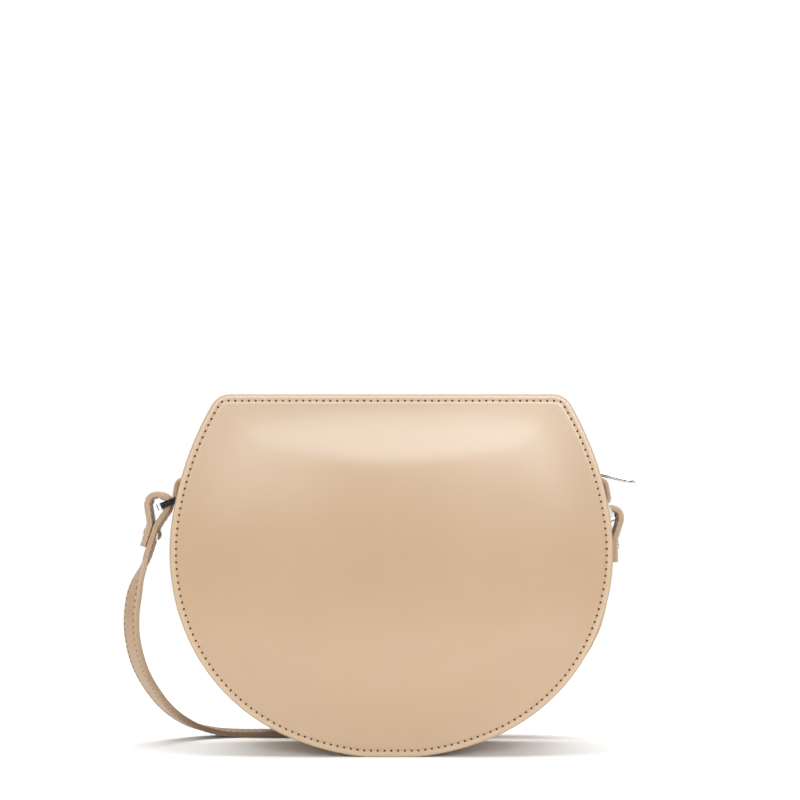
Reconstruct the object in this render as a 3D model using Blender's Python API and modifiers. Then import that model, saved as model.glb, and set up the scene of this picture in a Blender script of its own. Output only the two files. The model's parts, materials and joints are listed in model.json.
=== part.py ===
# Half moon bag: a small leather crossbody bag with a D-shaped front and back, a gusset
# between them on two welts, a zip over the top, a ring on each side and a long flat strap
# that is folded up behind the bag. Metres, +X to the right, +Y to the back, +Z up. The origin is the
# middle of the front panel's bottom edge, where the bag meets the surface that it stands on.

from math import acos, asin, ceil, cos, pi, radians, sin, sqrt

import bmesh
import bpy
from mathutils import Matrix, Vector

# The whole bag
bag_width = 0.210
bag_height = 0.1717
bag_depth = 0.065
seat_gap = 0.0003
cut_overrun = 0.002

# Outline of the D: tangent arcs, their radii as shares of the bag's width
widest_height_share = 0.565
side_radius_share = 0.484
shoulder_radius_share = 0.741
corner_radius = 0.0101
least_corner_radius = 0.001
bottom_press = 0.0006
shoulder_start = radians(8.2)
lower_start = radians(-20.1)
bottom_turn = radians(-65.5)
arc_step = radians(5)
corner_step = radians(22.5)

# Leather shell
panel_thickness = 0.0020
welt_thickness = 0.0015
gusset_thickness = 0.0015
edge_overhang = 0.0042
stiffener_thickness = 0.0012
lining_thickness = 0.0006

# Seam between the main gusset and the zip gusset, this far up the shoulder, behind the tabs
seam_run = 0.01766

# Zip
zip_opening_half = 0.0065
tape_thickness = 0.0006
tape_half_width = 0.0150
chain_thickness = 0.0022
chain_half_gap = 0.0006
spine_width = 0.0008
tooth_reach = 0.0014
tooth_pitch = 0.0036
stop_length = 0.0020

# Zip slider and its puller
slider_length = 0.0085
slider_half_width = 0.0042
slider_plate = 0.0010
post_width = 0.0006
post_length = 0.0026
flange_width = 0.0008
flange_height = 0.0006
bail_width = 0.0016
bail_wall = 0.0009
bail_length = 0.0062
puller_lean = radians(31.2)
puller_length = 0.0234
puller_width = 0.0066
puller_thickness = 0.0020
puller_bar = 0.0014
puller_window_length = 0.0042
puller_window_corner = 0.0003
puller_tip_radius = 0.0024

# Side tabs, folded round the rings
tab_width = 0.0150
tab_thickness = 0.0020
tab_bulge = 0.0010
tab_rise_share = 1.5
tab_shoulder_radius = 0.0034
bar_drop = 0.0072

# Rings, bent from flat strip
ring_inner_length = 0.0100
ring_bar = 0.0015
ring_height = 0.0030
ring_corner = 0.0020
ring_play = 0.0003
ring_left_angle = radians(22)
ring_right_angle = radians(66)

# Strap
strap_thickness = 0.0027
strap_lift = 0.0003
strap_turn = radians(13)
strap_left_angle = radians(72)
strap_right_angle = radians(90)
loop_inner_half = 0.0042
loop_left_outer_half = 0.0060
loop_right_outer_half = 0.0044
loop_top = 0.0056
loop_top_radius = 0.0041
loop_waist = 0.0005
loop_neck = 0.0092
loop_neck_radius = 0.0060
loop_waist_radius = 0.0030
strap_cut_end = 0.0205
strap_run_start = 0.0240
fold_layers = 5
fold_pitch = 0.0060
fold_left = 0.064
fold_right = 0.050
lane_gap = 0.0110
path_step = radians(15)
route_step = 0.0050
least_segment = 0.0001
weld_reach = 0.00001

# Route of each strap run: shares of the way out from the folded strap to the bag's side,
# of the bag's depth and of its height
left_route_shares = (
    (1.752, -0.03, 0.466),
    (1.842, -0.04, 0.378),
    (1.825, 0.04, 0.292),
    (1.683, 0.21, 0.200),
    (1.339, 0.43, 0.105),
    (0.898, 0.61, 0.045),
    (0.428, 0.73, 0.018),
)
right_route_shares = (
    (0.989, 0.06, 0.460),
    (0.958, 0.18, 0.396),
    (0.905, 0.37, 0.332),
    (0.799, 0.55, 0.268),
    (0.571, 0.69, 0.210),
    (0.244, 0.77, 0.172),
)

# Screw posts through the strap ends
rivet_drop = 0.0136
rivet_head_radius = 0.0035
rivet_head_height = 0.0010
rivet_head_edge = 0.0003
shank_radius = 0.0015
shank_play = 0.0002
shank_tip = 0.0012
dome_radius = 0.00275
dome_height = 0.0020
dome_steps = 4
turning_steps = 20

# Slip pocket on the back lining
pocket_width = 0.100
pocket_bottom = 0.048
pocket_top = 0.118
pocket_depth = 0.0052
pocket_sheet = 0.0006

# Sizes that follow from those above
half_width = bag_width / 2
half_depth = bag_depth / 2
panel_inner = half_depth - panel_thickness
welt_outer = panel_inner - seat_gap
welt_inner = welt_outer - welt_thickness
wall_edge = welt_inner - seat_gap
wall_middle = edge_overhang + gusset_thickness / 2
wall_inner = edge_overhang + gusset_thickness
skin_outer = wall_inner + seat_gap
lining_inner = welt_inner - lining_thickness
skin_edge = lining_inner - seat_gap
side_radius = side_radius_share * bag_width
shoulder_radius = shoulder_radius_share * bag_width
widest_height = widest_height_share * bag_height
ring_inner_width = tab_width + 2 * ring_play
strap_width = tab_width
bar_clear = sqrt(ring_bar**2 + ring_height**2) / 2 + seat_gap
bar_pitch = ring_inner_length + ring_bar
lane_y = half_depth + lane_gap + strap_width / 2
layer_pitch = strap_thickness + seat_gap
floor_layer = strap_thickness / 2 + strap_lift

# Radii of the lower and bottom arcs, so that each arc runs smoothly into the next
turns = Matrix((
    (cos(lower_start), cos(bottom_turn)),
    (1 + sin(lower_start), 1 + sin(bottom_turn)),
))
spare = Vector((side_radius - half_width, side_radius - widest_height - bottom_press))
radius_steps = turns.inverted() @ spare
lower_radius = side_radius - radius_steps.x
bottom_radius = lower_radius - radius_steps.y

# Centres of the outline's arcs, right half
side_centre = Vector((half_width - side_radius, widest_height))
shoulder_centre = side_centre + (side_radius - shoulder_radius) * Vector(
    (cos(shoulder_start), sin(shoulder_start))
)
lower_centre = side_centre + radius_steps.x * Vector((cos(lower_start), sin(lower_start)))
bottom_centre = Vector((0, bottom_radius - bottom_press))

# Places along the right shoulder, as angles about its centre
wall_radius = shoulder_radius - edge_overhang
seam_angle = shoulder_start + seam_run / wall_radius
tab_rise = tab_rise_share * tab_thickness
slider_low_angle = seam_angle + (tab_rise + seat_gap) / wall_radius
slider_angle = slider_low_angle + slider_length / 2 / wall_radius
stop_angle = slider_low_angle - seat_gap / wall_radius
puller_angle = puller_lean - slider_angle

# Depths below the panel edge in the zip, and the pivot of the puller
tape_middle = skin_outer + tape_thickness / 2
chain_outer = tape_middle - chain_thickness / 2
plate_outer = chain_outer - seat_gap - slider_plate
bail_window = sqrt(puller_thickness**2 + puller_bar**2) + 2 * seat_gap
pivot_depth = plate_outer - bail_window / 2
pivot_drop = bail_length / 2 - bail_wall - bail_window / 2
chain_end = chain_half_gap + tooth_reach + spine_width


def empty(name, parent=None, location=(0, 0, 0), turn=0.0):
    """An empty that places a side or a face of the bag."""
    holder = bpy.data.objects.new(name, None)
    holder.location = location
    holder.rotation_euler = (0, 0, turn)
    holder.parent = parent
    bag.objects.link(holder)
    return holder


def finish(name, colour, roughness, metallic=0.0):
    """A plain Principled material."""
    material = bpy.data.materials.new(name)
    material.use_nodes = True
    shader = material.node_tree.nodes["Principled BSDF"]
    shader.inputs["Base Color"].default_value = (*colour, 1)
    shader.inputs["Roughness"].default_value = roughness
    shader.inputs["Metallic"].default_value = metallic
    material.diffuse_color = (*colour, 1)
    return material


def add(name, data, parent, place=(0, 0, 0), turn=(0, 0, 0)):
    """Put a mesh or curve in the bag's collection."""
    part = bpy.data.objects.new(name, data)
    part.location = place
    part.rotation_euler = turn
    part.parent = parent
    bag.objects.link(part)
    return part


def outline_arcs(inset):
    """The right half of the D from bottom to top, inset from the panel edge."""
    corner = max(corner_radius - inset, least_corner_radius)
    reach = shoulder_radius - inset - corner
    rise = asin((bag_height - inset - corner - shoulder_centre.y) / reach)
    corner_centre = shoulder_centre + reach * Vector((cos(rise), sin(rise)))
    drop = (bottom_centre.y - inset) / (bottom_radius - inset)
    bottom_start = acos(drop) - pi / 2
    return (
        (bottom_centre, bottom_radius - inset, bottom_start, bottom_turn),
        (lower_centre, lower_radius - inset, bottom_turn, lower_start),
        (side_centre, side_radius - inset, lower_start, shoulder_start),
        (shoulder_centre, shoulder_radius - inset, shoulder_start, rise),
        (corner_centre, corner, rise, pi / 2),
    )


def arc_points(arc, step=arc_step):
    """Points along an arc, both ends included."""
    centre, radius, begin, end = arc
    count = max(1, ceil(abs(end - begin) / step))
    angles = [begin + (end - begin) * index / count for index in range(count + 1)]
    return [centre + radius * Vector((cos(angle), sin(angle))) for angle in angles]


def join(arcs):
    """The points of arcs that follow each other, each joint once."""
    points = arc_points(arcs[0])
    for arc in arcs[1:]:
        points += arc_points(arc)[1:]
    return points


def mirrored(points):
    """The same points on the left, in reverse order."""
    return [Vector((-point.x, point.y)) for point in reversed(points)]


def lower_path(inset, end_angle):
    """Left shoulder, round the bottom, to the right shoulder."""
    arcs = outline_arcs(inset)
    centre, radius, begin, _ = arcs[3]
    right = join((*arcs[:3], (centre, radius, begin, end_angle)))
    return mirrored(right) + right


def upper_path(inset, end_angle):
    """Right shoulder, over the top, to the left shoulder."""
    arcs = outline_arcs(inset)
    centre, radius, _, end = arcs[3]
    right = join(((centre, radius, end_angle, end), arcs[4]))
    return right + mirrored(right)


def outline(inset):
    """The closed D."""
    right = join(outline_arcs(inset))
    return right + mirrored(right)


def rounded(points, radii, step=path_step):
    """The path through points with each inner corner turned to an arc."""
    path = [points[0]]
    for before, corner, after, radius in zip(points, points[1:], points[2:], radii):
        back = (before - corner).normalized()
        ahead = (after - corner).normalized()
        half = back.angle(ahead) / 2
        centre = corner + (back + ahead).normalized() * radius / sin(half)
        start = corner + back * radius / (sin(half) / cos(half)) - centre
        sweep = pi - 2 * half
        count = max(2, ceil(sweep / step))
        side = -1 if back.x * ahead.y - back.y * ahead.x > 0 else 1
        for index in range(count + 1):
            point = centre + Matrix.Rotation(side * sweep * index / count, 2) @ start
            if (point - path[-1]).length > least_segment:
                path.append(point)
    path.append(points[-1])
    return path


def plate(name, outlines, low, high, material, parent):
    """Flat outlines in the XZ plane, thickened from y = low to y = high."""
    curve = flat_curve(name, outlines, (high - low) / 2, material)
    return add(name, curve, parent, (0, (low + high) / 2, 0), (pi / 2, 0, 0))


def flat_curve(name, outlines, half_thickness, material):
    """A filled 2D curve of closed outlines; inner ones are holes."""
    curve = bpy.data.curves.new(name, "CURVE")
    curve.dimensions = "2D"
    curve.fill_mode = "BOTH"
    curve.extrude = half_thickness
    curve.resolution_u = 1
    curve.render_resolution_u = 0
    for points in outlines:
        spline = curve.splines.new("POLY")
        spline.points.add(len(points) - 1)
        for spot, point in zip(spline.points, points):
            spot.co = (point.x, point.y, 0, 1)
        spline.use_cyclic_u = True
    curve.materials.append(material)
    return curve


def sheet(name, columns, rows, spot, thickness, material, parent, pivot=None, keep=None):
    """A grid bent to spot(column, row) and thickened equally both ways.

    Faces that keep(column, row) refuses are left out.
    """
    origin = pivot or Vector((0, 0, 0))
    mesh = bpy.data.meshes.new(name)
    grid = bmesh.new()
    bmesh.ops.create_grid(grid, x_segments=columns, y_segments=rows, size=1)
    dropped = []
    for face in grid.faces:
        middle = face.calc_center_median()
        column = round((middle.x + 1) / 2 * columns - 0.5)
        row = round((middle.y + 1) / 2 * rows - 0.5)
        if keep and not keep(column, row):
            dropped.append(face)
    bmesh.ops.delete(grid, geom=dropped, context="FACES")
    for vert in grid.verts:
        column = round((vert.co.x + 1) / 2 * columns)
        row = round((vert.co.y + 1) / 2 * rows)
        vert.co = spot(column, row) - origin
    grid.to_mesh(mesh)
    grid.free()
    mesh.materials.append(material)
    part = add(name, mesh, parent, origin)
    shell = part.modifiers.new("thickness", "SOLIDIFY")
    shell.thickness = thickness
    shell.offset = 0
    shell.use_even_offset = True
    return part


def band(name, paths, widths, thickness, material, parent):
    """A sheet along the outline: one path of XZ points for each y in widths."""

    def spot(column, row):
        point = paths[row][column]
        return Vector((point.x, widths[row], point.y))

    return sheet(name, len(paths[0]) - 1, len(widths) - 1, spot, thickness, material, parent)


def ribbon(name, path, width, thickness, material, parent, pivot):
    """A strip across Y along a path of XZ points."""

    def spot(column, row):
        return Vector((path[column].x, (row - 0.5) * width, path[column].y))

    return sheet(name, len(path) - 1, 1, spot, thickness, material, parent, pivot)


def box(name, low, high, parent, turn=(0, 0, 0)):
    """A block between two corners, in the parent's frame before it turns."""
    mesh = bpy.data.meshes.new(name)
    block = bmesh.new()
    bmesh.ops.create_cube(block, size=1)
    for vert in block.verts:
        shares = vert.co + Vector((0.5, 0.5, 0.5))
        vert.co = [a + (b - a) * share for a, b, share in zip(low, high, shares)]
    block.to_mesh(mesh)
    block.free()
    return add(name, mesh, parent, (0, 0, 0), turn)


def cut_away(part, cutter, operation="DIFFERENCE"):
    """Cut a part with a cutter, or join it to one, and keep the cutter as a guide."""
    cut = part.modifiers.new(cutter.name, "BOOLEAN")
    cut.operation = operation
    cut.solver = "EXACT"
    cut.object = cutter
    bag.objects.unlink(cutter)
    cutters.objects.link(cutter)
    cutter.hide_render = True
    cutter.display_type = "WIRE"


def turned(name, profile, material, parent, place, turn):
    """A profile of (radius, height) points, top to bottom, turned about its own Z."""
    mesh = bpy.data.meshes.new(name)
    line = bmesh.new()
    verts = [line.verts.new((radius, 0, height)) for radius, height in profile]
    for first, second in zip(verts, verts[1:]):
        line.edges.new((first, second))
    line.to_mesh(mesh)
    line.free()
    mesh.materials.append(material)
    part = add(name, mesh, parent, place, turn)
    screw = part.modifiers.new("turning", "SCREW")
    screw.steps = turning_steps
    screw.render_steps = turning_steps
    screw.use_merge_vertices = True
    screw.merge_threshold = weld_reach
    screw.use_smooth_shade = True
    return part


def build_shell(face, label):
    """One face of the bag: outer panel, welt, stiffener and lining, modelled at the front."""
    plate(f"{label}_panel", [outline(0)], -half_depth, -panel_inner, leather, face)
    ring = [outline(0), outline(wall_inner)]
    plate(f"welt_{label}", ring, -welt_outer, -welt_inner, leather, face)
    board_inner = welt_outer - stiffener_thickness
    inset = skin_outer + seat_gap
    plate(f"{label}_stiffener", [outline(inset)], -welt_outer, -board_inner, board, face)
    plate(f"{label}_lining", [outline(skin_outer)], -welt_inner, -lining_inner, lining, face)


def build_main_gusset():
    """The wall round the bottom and sides, between the two welts, and its lining."""
    paths = [lower_path(wall_middle, seam_angle)] * 2
    band("main_gusset", paths, (-wall_edge, wall_edge), gusset_thickness, leather, bag_centre)
    inner = skin_outer + lining_thickness / 2
    paths = [lower_path(inner, seam_angle)] * 2
    band("gusset_lining", paths, (-skin_edge, skin_edge), lining_thickness, lining, bag_centre)


def build_zip_gusset(face, label):
    """Half of the strip over the top, with its lining, zip tape and teeth."""
    start = seam_angle + seat_gap / wall_radius
    paths = [upper_path(wall_middle, start)] * 2
    widths = (-wall_edge, -zip_opening_half)
    band(f"zip_gusset_{label}", paths, widths, gusset_thickness, leather, face)

    tape_paths = [upper_path(tape_middle, start)] * 2
    widths = (-tape_half_width, -chain_end - seat_gap)
    band(f"zip_tape_{label}", tape_paths, widths, tape_thickness, tape, face)

    inner = skin_outer + lining_thickness / 2
    paths = [upper_path(inner, start)] * 2
    widths = (-skin_edge, -tape_half_width - seat_gap)
    band(f"zip_lining_{label}", paths, widths, lining_thickness, lining, face)
    build_teeth(face, label)


def build_teeth(face, label):
    """A comb of teeth along one tape edge."""
    line = upper_path(tape_middle, stop_angle)
    lengths = [0]
    for first, second in zip(line, line[1:]):
        lengths.append(lengths[-1] + (second - first).length)
    teeth = round(lengths[-1] / tooth_pitch)
    columns = 2 * teeth + 1
    spine_edge = -chain_half_gap - tooth_reach
    edges = (spine_edge - spine_width, spine_edge, -chain_half_gap)

    def spot(column, row):
        along = lengths[-1] * column / columns
        index = max(i for i, length in enumerate(lengths) if length <= along)
        index = min(index, len(line) - 2)
        share = (along - lengths[index]) / (lengths[index + 1] - lengths[index])
        point = line[index].lerp(line[index + 1], share)
        return Vector((point.x, edges[row], point.y))

    def keep(column, row):
        return row == 0 or column % 2 == 0

    name = f"zip_teeth_{label}"
    sheet(name, columns, 2, spot, chain_thickness, metal, face, keep=keep)


def build_zip_stops():
    """Two top stops below the closed slider, and the bottom stop that joins the tapes."""
    inner = shoulder_radius - tape_middle - chain_thickness / 2
    outer = shoulder_radius - tape_middle + chain_thickness / 2
    low = -stop_length - seat_gap
    for label, side in (("front", -1), ("back", 1)):
        ends = sorted((side * chain_half_gap, side * chain_end))
        add_stop(f"top_stop_{label}", inner, outer, ends, low, bag_side["right"])
    add_stop("bottom_stop", inner, outer, (-chain_end, chain_end), low, bag_side["left"])


def add_stop(name, inner, outer, ends, low, side):
    """A block across the chain, just past its end."""
    corners = ((inner, ends[0], low), (outer, ends[1], -seat_gap))
    block = box(name, *corners, side, (0, -stop_angle, 0))
    block.data.materials.append(metal)
    block.location = (shoulder_centre.x, 0, shoulder_centre.y)


def build_slider():
    """Slider on the right shoulder; its origin is the centre of the shoulder's arc."""
    turn = (0, -slider_angle, 0)
    half = slider_length / 2
    edge = slider_half_width
    top_outer = shoulder_radius - plate_outer
    top_inner = top_outer - slider_plate
    low_outer = shoulder_radius - tape_middle - chain_thickness / 2 - seat_gap
    low_inner = low_outer - slider_plate
    right = bag_side["right"]
    body = box("zip_slider", (top_inner, -edge, -half), (top_outer, edge, half), right, turn)
    body.data.materials.append(metal)
    lower = box("slider_lower_plate", (low_inner, -edge, -half), (low_outer, edge, half), right, turn)
    shim = slider_plate / 2
    post_half = post_width / 2
    post_corners = (
        (low_outer - shim, -post_half, -half),
        (top_inner + shim, post_half, post_length - half),
    )
    post = box("slider_post", *post_corners, right, turn)
    flange_low = top_inner - flange_height
    flanges = []
    for label, sign in (("front", -1), ("back", 1)):
        ends = sorted((sign * (edge - flange_width), sign * edge))
        corners = ((flange_low, ends[0], -half), (top_inner + shim, ends[1], half))
        flanges.append(box(f"slider_flange_{label}", *corners, right, turn))
    bail_half = bail_length / 2
    crown = top_outer + bail_window
    arch_corners = (
        (top_outer - shim, -bail_width / 2, -bail_half),
        (crown + bail_wall, bail_width / 2, bail_half),
    )
    arch = box("slider_bail", *arch_corners, right, turn)
    window_corners = (
        (top_outer, -bail_width, bail_wall - bail_half),
        (crown, bail_width, bail_half - bail_wall),
    )
    window = box("slider_bail_window", *window_corners, right, turn)
    for piece in (body, lower, post, arch, window, *flanges):
        piece.location = (shoulder_centre.x, 0, shoulder_centre.y)
    cut_away(arch, window)
    for piece in (post, lower, *flanges, arch):
        cut_away(body, piece, "UNION")


def puller_pivot():
    """The puller's bar, inside the bail's lower end."""
    radius = shoulder_radius - pivot_depth
    angle = slider_angle - pivot_drop / radius
    return shoulder_centre + radius * Vector((cos(angle), sin(angle)))


def rectangle(low_x, high_x, half_y, radius):
    """A rounded rectangle about the X axis."""
    points = []
    high = high_x - radius
    low = low_x + radius
    for x, side, quarter in ((high, -1, -1), (high, 1, 0), (low, 1, 1), (low, -1, 2)):
        centre = Vector((x, side * (half_y - radius)))
        begin = quarter * pi / 2
        points += arc_points((centre, radius, begin, begin + pi / 2), corner_step)
    return points


def build_puller():
    """A polished tab with a window at its root for the bail."""
    back = puller_bar / 2
    outer = rectangle(-back, puller_length, puller_width / 2, puller_tip_radius)
    window_half = bail_width / 2 + seat_gap
    window_end = back + puller_window_length
    hole = rectangle(back, window_end, window_half, puller_window_corner)
    curve = flat_curve("zip_puller", [outer, hole], puller_thickness / 2, metal)
    pivot = puller_pivot()
    place = (pivot.x, 0, pivot.y)
    add("zip_puller", curve, bag_side["right"], place, (0, puller_angle, 0))


def wall_frame():
    """The gusset wall's outer face at the seam: a point, outwards and downwards."""
    outward = Vector((cos(seam_angle), sin(seam_angle)))
    downward = Vector((outward.y, -outward.x))
    return shoulder_centre + wall_radius * outward, outward, downward


def bar_depth():
    """How far the ring's inner bar is from the wall."""
    return seat_gap + tab_thickness + bar_clear


def ring_pivot():
    """The centre of the ring's inner bar, in the tab's fold."""
    corner, outward, downward = wall_frame()
    return corner + bar_depth() * outward + bar_drop * downward


def build_tab(side, label):
    """A leather strip out of the seam, folded round the ring's inner bar."""
    corner, outward, downward = wall_frame()
    half = tab_thickness / 2
    near = seat_gap + half
    turn = bar_clear + half
    far = near + 2 * turn
    base = bar_drop + turn
    top = half - tab_rise
    places = (
        (near, top + tab_thickness + seat_gap),
        (near, base),
        (far, base),
        (far + tab_bulge, top),
        (seat_gap, top),
    )
    points = [corner + out * outward + down * downward for out, down in places]
    path = rounded(points, (turn, turn, tab_shoulder_radius))
    pivot = ring_pivot()
    origin = Vector((pivot.x, 0, pivot.y))
    ribbon(f"tab_{label}", path, tab_width, tab_thickness, leather, side, origin)


def build_ring(side, label, angle):
    """A rectangular ring whose origin is its inner bar's centre."""
    bar = ring_bar / 2
    reach = bar_pitch + bar
    half = ring_inner_width / 2
    outer = rectangle(-bar, reach, half + ring_bar, ring_corner)
    inner = rectangle(bar, reach - ring_bar, half, ring_corner - ring_bar)
    name = f"ring_{label}"
    curve = flat_curve(name, [outer, inner], ring_height / 2, metal)
    pivot = ring_pivot()
    add(name, curve, side, (pivot.x, 0, pivot.y), (0, angle, 0))


def strap_pivot(angle):
    """The centre of the ring's outer bar."""
    return ring_pivot() + bar_pitch * Vector((cos(angle), -sin(angle)))


def end_frame(ring_angle, strap_angle):
    """The outer bar's centre, then along the doubled strap and across it towards the bag."""
    along = Vector((cos(strap_angle), -sin(strap_angle)))
    across = Vector((-sin(strap_angle), -cos(strap_angle)))
    return strap_pivot(ring_angle), along, across


def build_strap_end(side, label, ring_angle, strap_angle, outer_half):
    """The strap's looped end, with its two layers held by a screw post."""
    pivot, along, across = end_frame(ring_angle, strap_angle)
    layer = layer_pitch / 2
    places = (
        (strap_run_start, layer),
        (loop_neck, layer),
        (loop_waist, loop_inner_half),
        (-loop_top, loop_inner_half),
        (-loop_top, -outer_half),
        (loop_waist, -outer_half),
        (loop_neck, -layer),
        (strap_cut_end, -layer),
    )
    points = [pivot + down * along + over * across for down, over in places]
    neck = loop_neck_radius
    waist = loop_waist_radius
    radii = (neck, waist, loop_top_radius, loop_top_radius, waist, neck)
    path = rounded(points, radii)
    origin = Vector((pivot.x, 0, pivot.y))
    name = f"strap_end_{label}"
    end = ribbon(name, path, strap_width, strap_thickness, leather, side, origin)

    centre = pivot + rivet_drop * along
    place = (centre.x, 0, centre.y)
    turn = (0, strap_angle, 0)
    hole = shank_radius + shank_play
    reach = strap_thickness + layer + cut_overrun
    profile = ((0, reach), (hole, reach), (hole, -reach), (0, -reach))
    cutter = turned(f"rivet_hole_{label}", profile, metal, side, place, turn)
    cut_away(end, cutter)

    face = layer + strap_thickness / 2 + seat_gap
    brim = rivet_head_radius - rivet_head_edge
    head = face + rivet_head_height
    profile = (
        (0, head),
        (brim, head),
        (rivet_head_radius, head - rivet_head_edge),
        (rivet_head_radius, face),
        (shank_radius, face),
        (shank_radius, -face - shank_tip),
        (0, -face - shank_tip),
    )
    turned(f"rivet_post_{label}", profile, metal, side, place, turn)

    bore = shank_tip + seat_gap
    quarters = [pi / 2 * index / dome_steps for index in range(dome_steps + 1)]
    dome = [(dome_radius * cos(q), -face - dome_height * sin(q)) for q in quarters]
    profile = ((0, -face - bore), (hole, -face - bore), (hole, -face), *dome)
    turned(f"rivet_cap_{label}", profile, metal, side, place, turn)


def smooth_route(points):
    """A smooth curve through points, at about the route step."""
    knots = [2 * points[0] - points[1], *points, 2 * points[-1] - points[-2]]
    route = []
    for a, b, c, d in zip(knots, knots[1:], knots[2:], knots[3:]):
        count = max(1, ceil((c - b).length / route_step))
        for index in range(count):
            t = index / count
            curve = (c - a) / 2 * t + (a - 2.5 * b + 2 * c - d / 2) * t**2
            route.append(b + curve + (1.5 * (b - c) + (d - a) / 2) * t**3)
    route.append(points[-1])
    return route


def build_run(name, points, turn_by):
    """A flat strap run along a route; it turns about Z by turn_by in its middle."""
    route = smooth_route(points)
    last = len(route) - 1
    crosses = []
    for index, point in enumerate(route):
        ahead = route[min(index + 1, last)] - route[max(index - 1, 0)]
        ahead.normalize()
        turn = turn_by * sin(pi * index / last)
        across = Vector((sin(turn), cos(turn), 0))
        crosses.append((across - across.dot(ahead) * ahead).normalized())

    def spot(column, row):
        return route[column] + (row - 0.5) * strap_width * crosses[column]

    sheet(name, last, 1, spot, strap_thickness, leather, bag_centre)


def bag_points(shares, side, lane_end):
    """Route points on one side of the bag, from shares of the way out, depth and height."""
    way = half_width - lane_end
    return [
        Vector((side * (lane_end + x * way), y * bag_depth, z * bag_height)) for x, y, z in shares
    ]


def run_points(side, angles, shares, fold_end, height):
    """From the looped end on one side to a layer of the folded stack."""
    start = strap_run_start + seat_gap
    lead = start + strap_thickness
    pivot, along, across = end_frame(*angles)
    ends = [pivot + reach * along + layer_pitch / 2 * across for reach in (start, lead)]
    begin = [Vector((side * end.x, 0, end.y)) for end in ends]
    lane_end = fold_end + seat_gap
    lane_start = lane_end + strap_width
    landing = [Vector((side * x, lane_y, height)) for x in (lane_start, lane_end)]
    return begin + bag_points(shares, side, lane_start) + landing


def build_strap_runs():
    """The two free runs, from the looped ends to the folded stack behind the bag."""
    left_angles = (ring_left_angle, strap_left_angle)
    points = run_points(-1, left_angles, left_route_shares, fold_left, floor_layer)
    build_run("strap_left_run", points, -strap_turn)

    right_angles = (ring_right_angle, strap_right_angle)
    top_layer = floor_layer + (fold_layers - 1) * fold_pitch
    points = run_points(1, right_angles, right_route_shares, fold_right, top_layer)
    build_run("strap_right_run", points, 0)


def build_strap_fold():
    """The rest of the strap, folded to and fro on the surface behind the bag."""
    bend = fold_pitch / 2
    places = [Vector((-fold_left, floor_layer))]
    radii = []
    for layer in range(fold_layers - 1):
        height = floor_layer + layer * fold_pitch
        turn_x = fold_right if layer % 2 == 0 else -fold_left
        sign = 1 if layer % 2 == 0 else -1
        end_x = turn_x - sign * seat_gap
        places += [Vector((end_x, height)), Vector((end_x, height + fold_pitch))]
        radii += [bend, bend]
    places.append(Vector((fold_right, floor_layer + (fold_layers - 1) * fold_pitch)))
    path = rounded(places, radii, corner_step)

    def spot(column, row):
        y = lane_y + (row - 0.5) * strap_width
        return Vector((path[column].x, y, path[column].y))

    count = len(path) - 1
    sheet("strap_fold", count, 1, spot, strap_thickness, leather, bag_centre)


def build_pocket():
    """A flat patch pocket on the back lining, open at its top."""
    outer = lining_inner - seat_gap
    inner = outer - pocket_depth
    half = pocket_width / 2
    pocket = box("slip_pocket", (-half, inner, pocket_bottom), (half, outer, pocket_top), bag_centre)
    pocket.data.materials.append(lining)
    room = half - pocket_sheet
    corners = (
        (-room, inner + pocket_sheet, pocket_bottom + pocket_sheet),
        (room, outer + cut_overrun, pocket_top + cut_overrun),
    )
    cut_away(pocket, box("slip_pocket_room", *corners, bag_centre))


for old in list(bpy.data.objects):
    bpy.data.objects.remove(old, do_unlink=True)

bag = bpy.data.collections.new("half_moon_bag")
cutters = bpy.data.collections.new("cutters")
for group in (bag, cutters):
    bpy.context.scene.collection.children.link(group)

leather = finish("tan_leather", (0.62, 0.42, 0.27), 0.35)
lining = finish("lining_cloth", (0.55, 0.45, 0.35), 0.85)
board = finish("stiffener_board", (0.45, 0.38, 0.30), 0.9)
tape = finish("zip_tape_cloth", (0.50, 0.33, 0.20), 0.8)
metal = finish("polished_metal", (0.82, 0.81, 0.79), 0.12, 1.0)

bag_centre = empty("bag_centre", location=(0, half_depth - panel_thickness / 2, 0))
bag_face = {
    "front": empty("front_face", bag_centre),
    "back": empty("back_face", bag_centre, turn=pi),
}
bag_side = {
    "right": empty("right_side", bag_centre),
    "left": empty("left_side", bag_centre, turn=pi),
}
ring_angles = {"right": ring_right_angle, "left": ring_left_angle}
strap_angles = {"right": strap_right_angle, "left": strap_left_angle}
loop_halves = {"right": loop_right_outer_half, "left": loop_left_outer_half}

for face_label, face_empty in bag_face.items():
    build_shell(face_empty, face_label)
    build_zip_gusset(face_empty, face_label)
build_main_gusset()
build_zip_stops()
build_slider()
build_puller()
build_pocket()
for side_label, side_empty in bag_side.items():
    build_tab(side_empty, side_label)
    build_ring(side_empty, side_label, ring_angles[side_label])
    angles = (ring_angles[side_label], strap_angles[side_label])
    build_strap_end(side_empty, side_label, *angles, loop_halves[side_label])
build_strap_runs()
build_strap_fold()
bpy.context.view_layer.update()
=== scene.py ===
# Half moon bag: leather, stitching, zip and metal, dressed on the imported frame.
# Metres, +X right, +Y back, +Z up. Change a value in a dictionary below and run it again.

import json
from math import acos, asin, ceil, cos, pi, radians, sin, sqrt

import bmesh
import bpy
from mathutils import Matrix, Vector, noise


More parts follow.
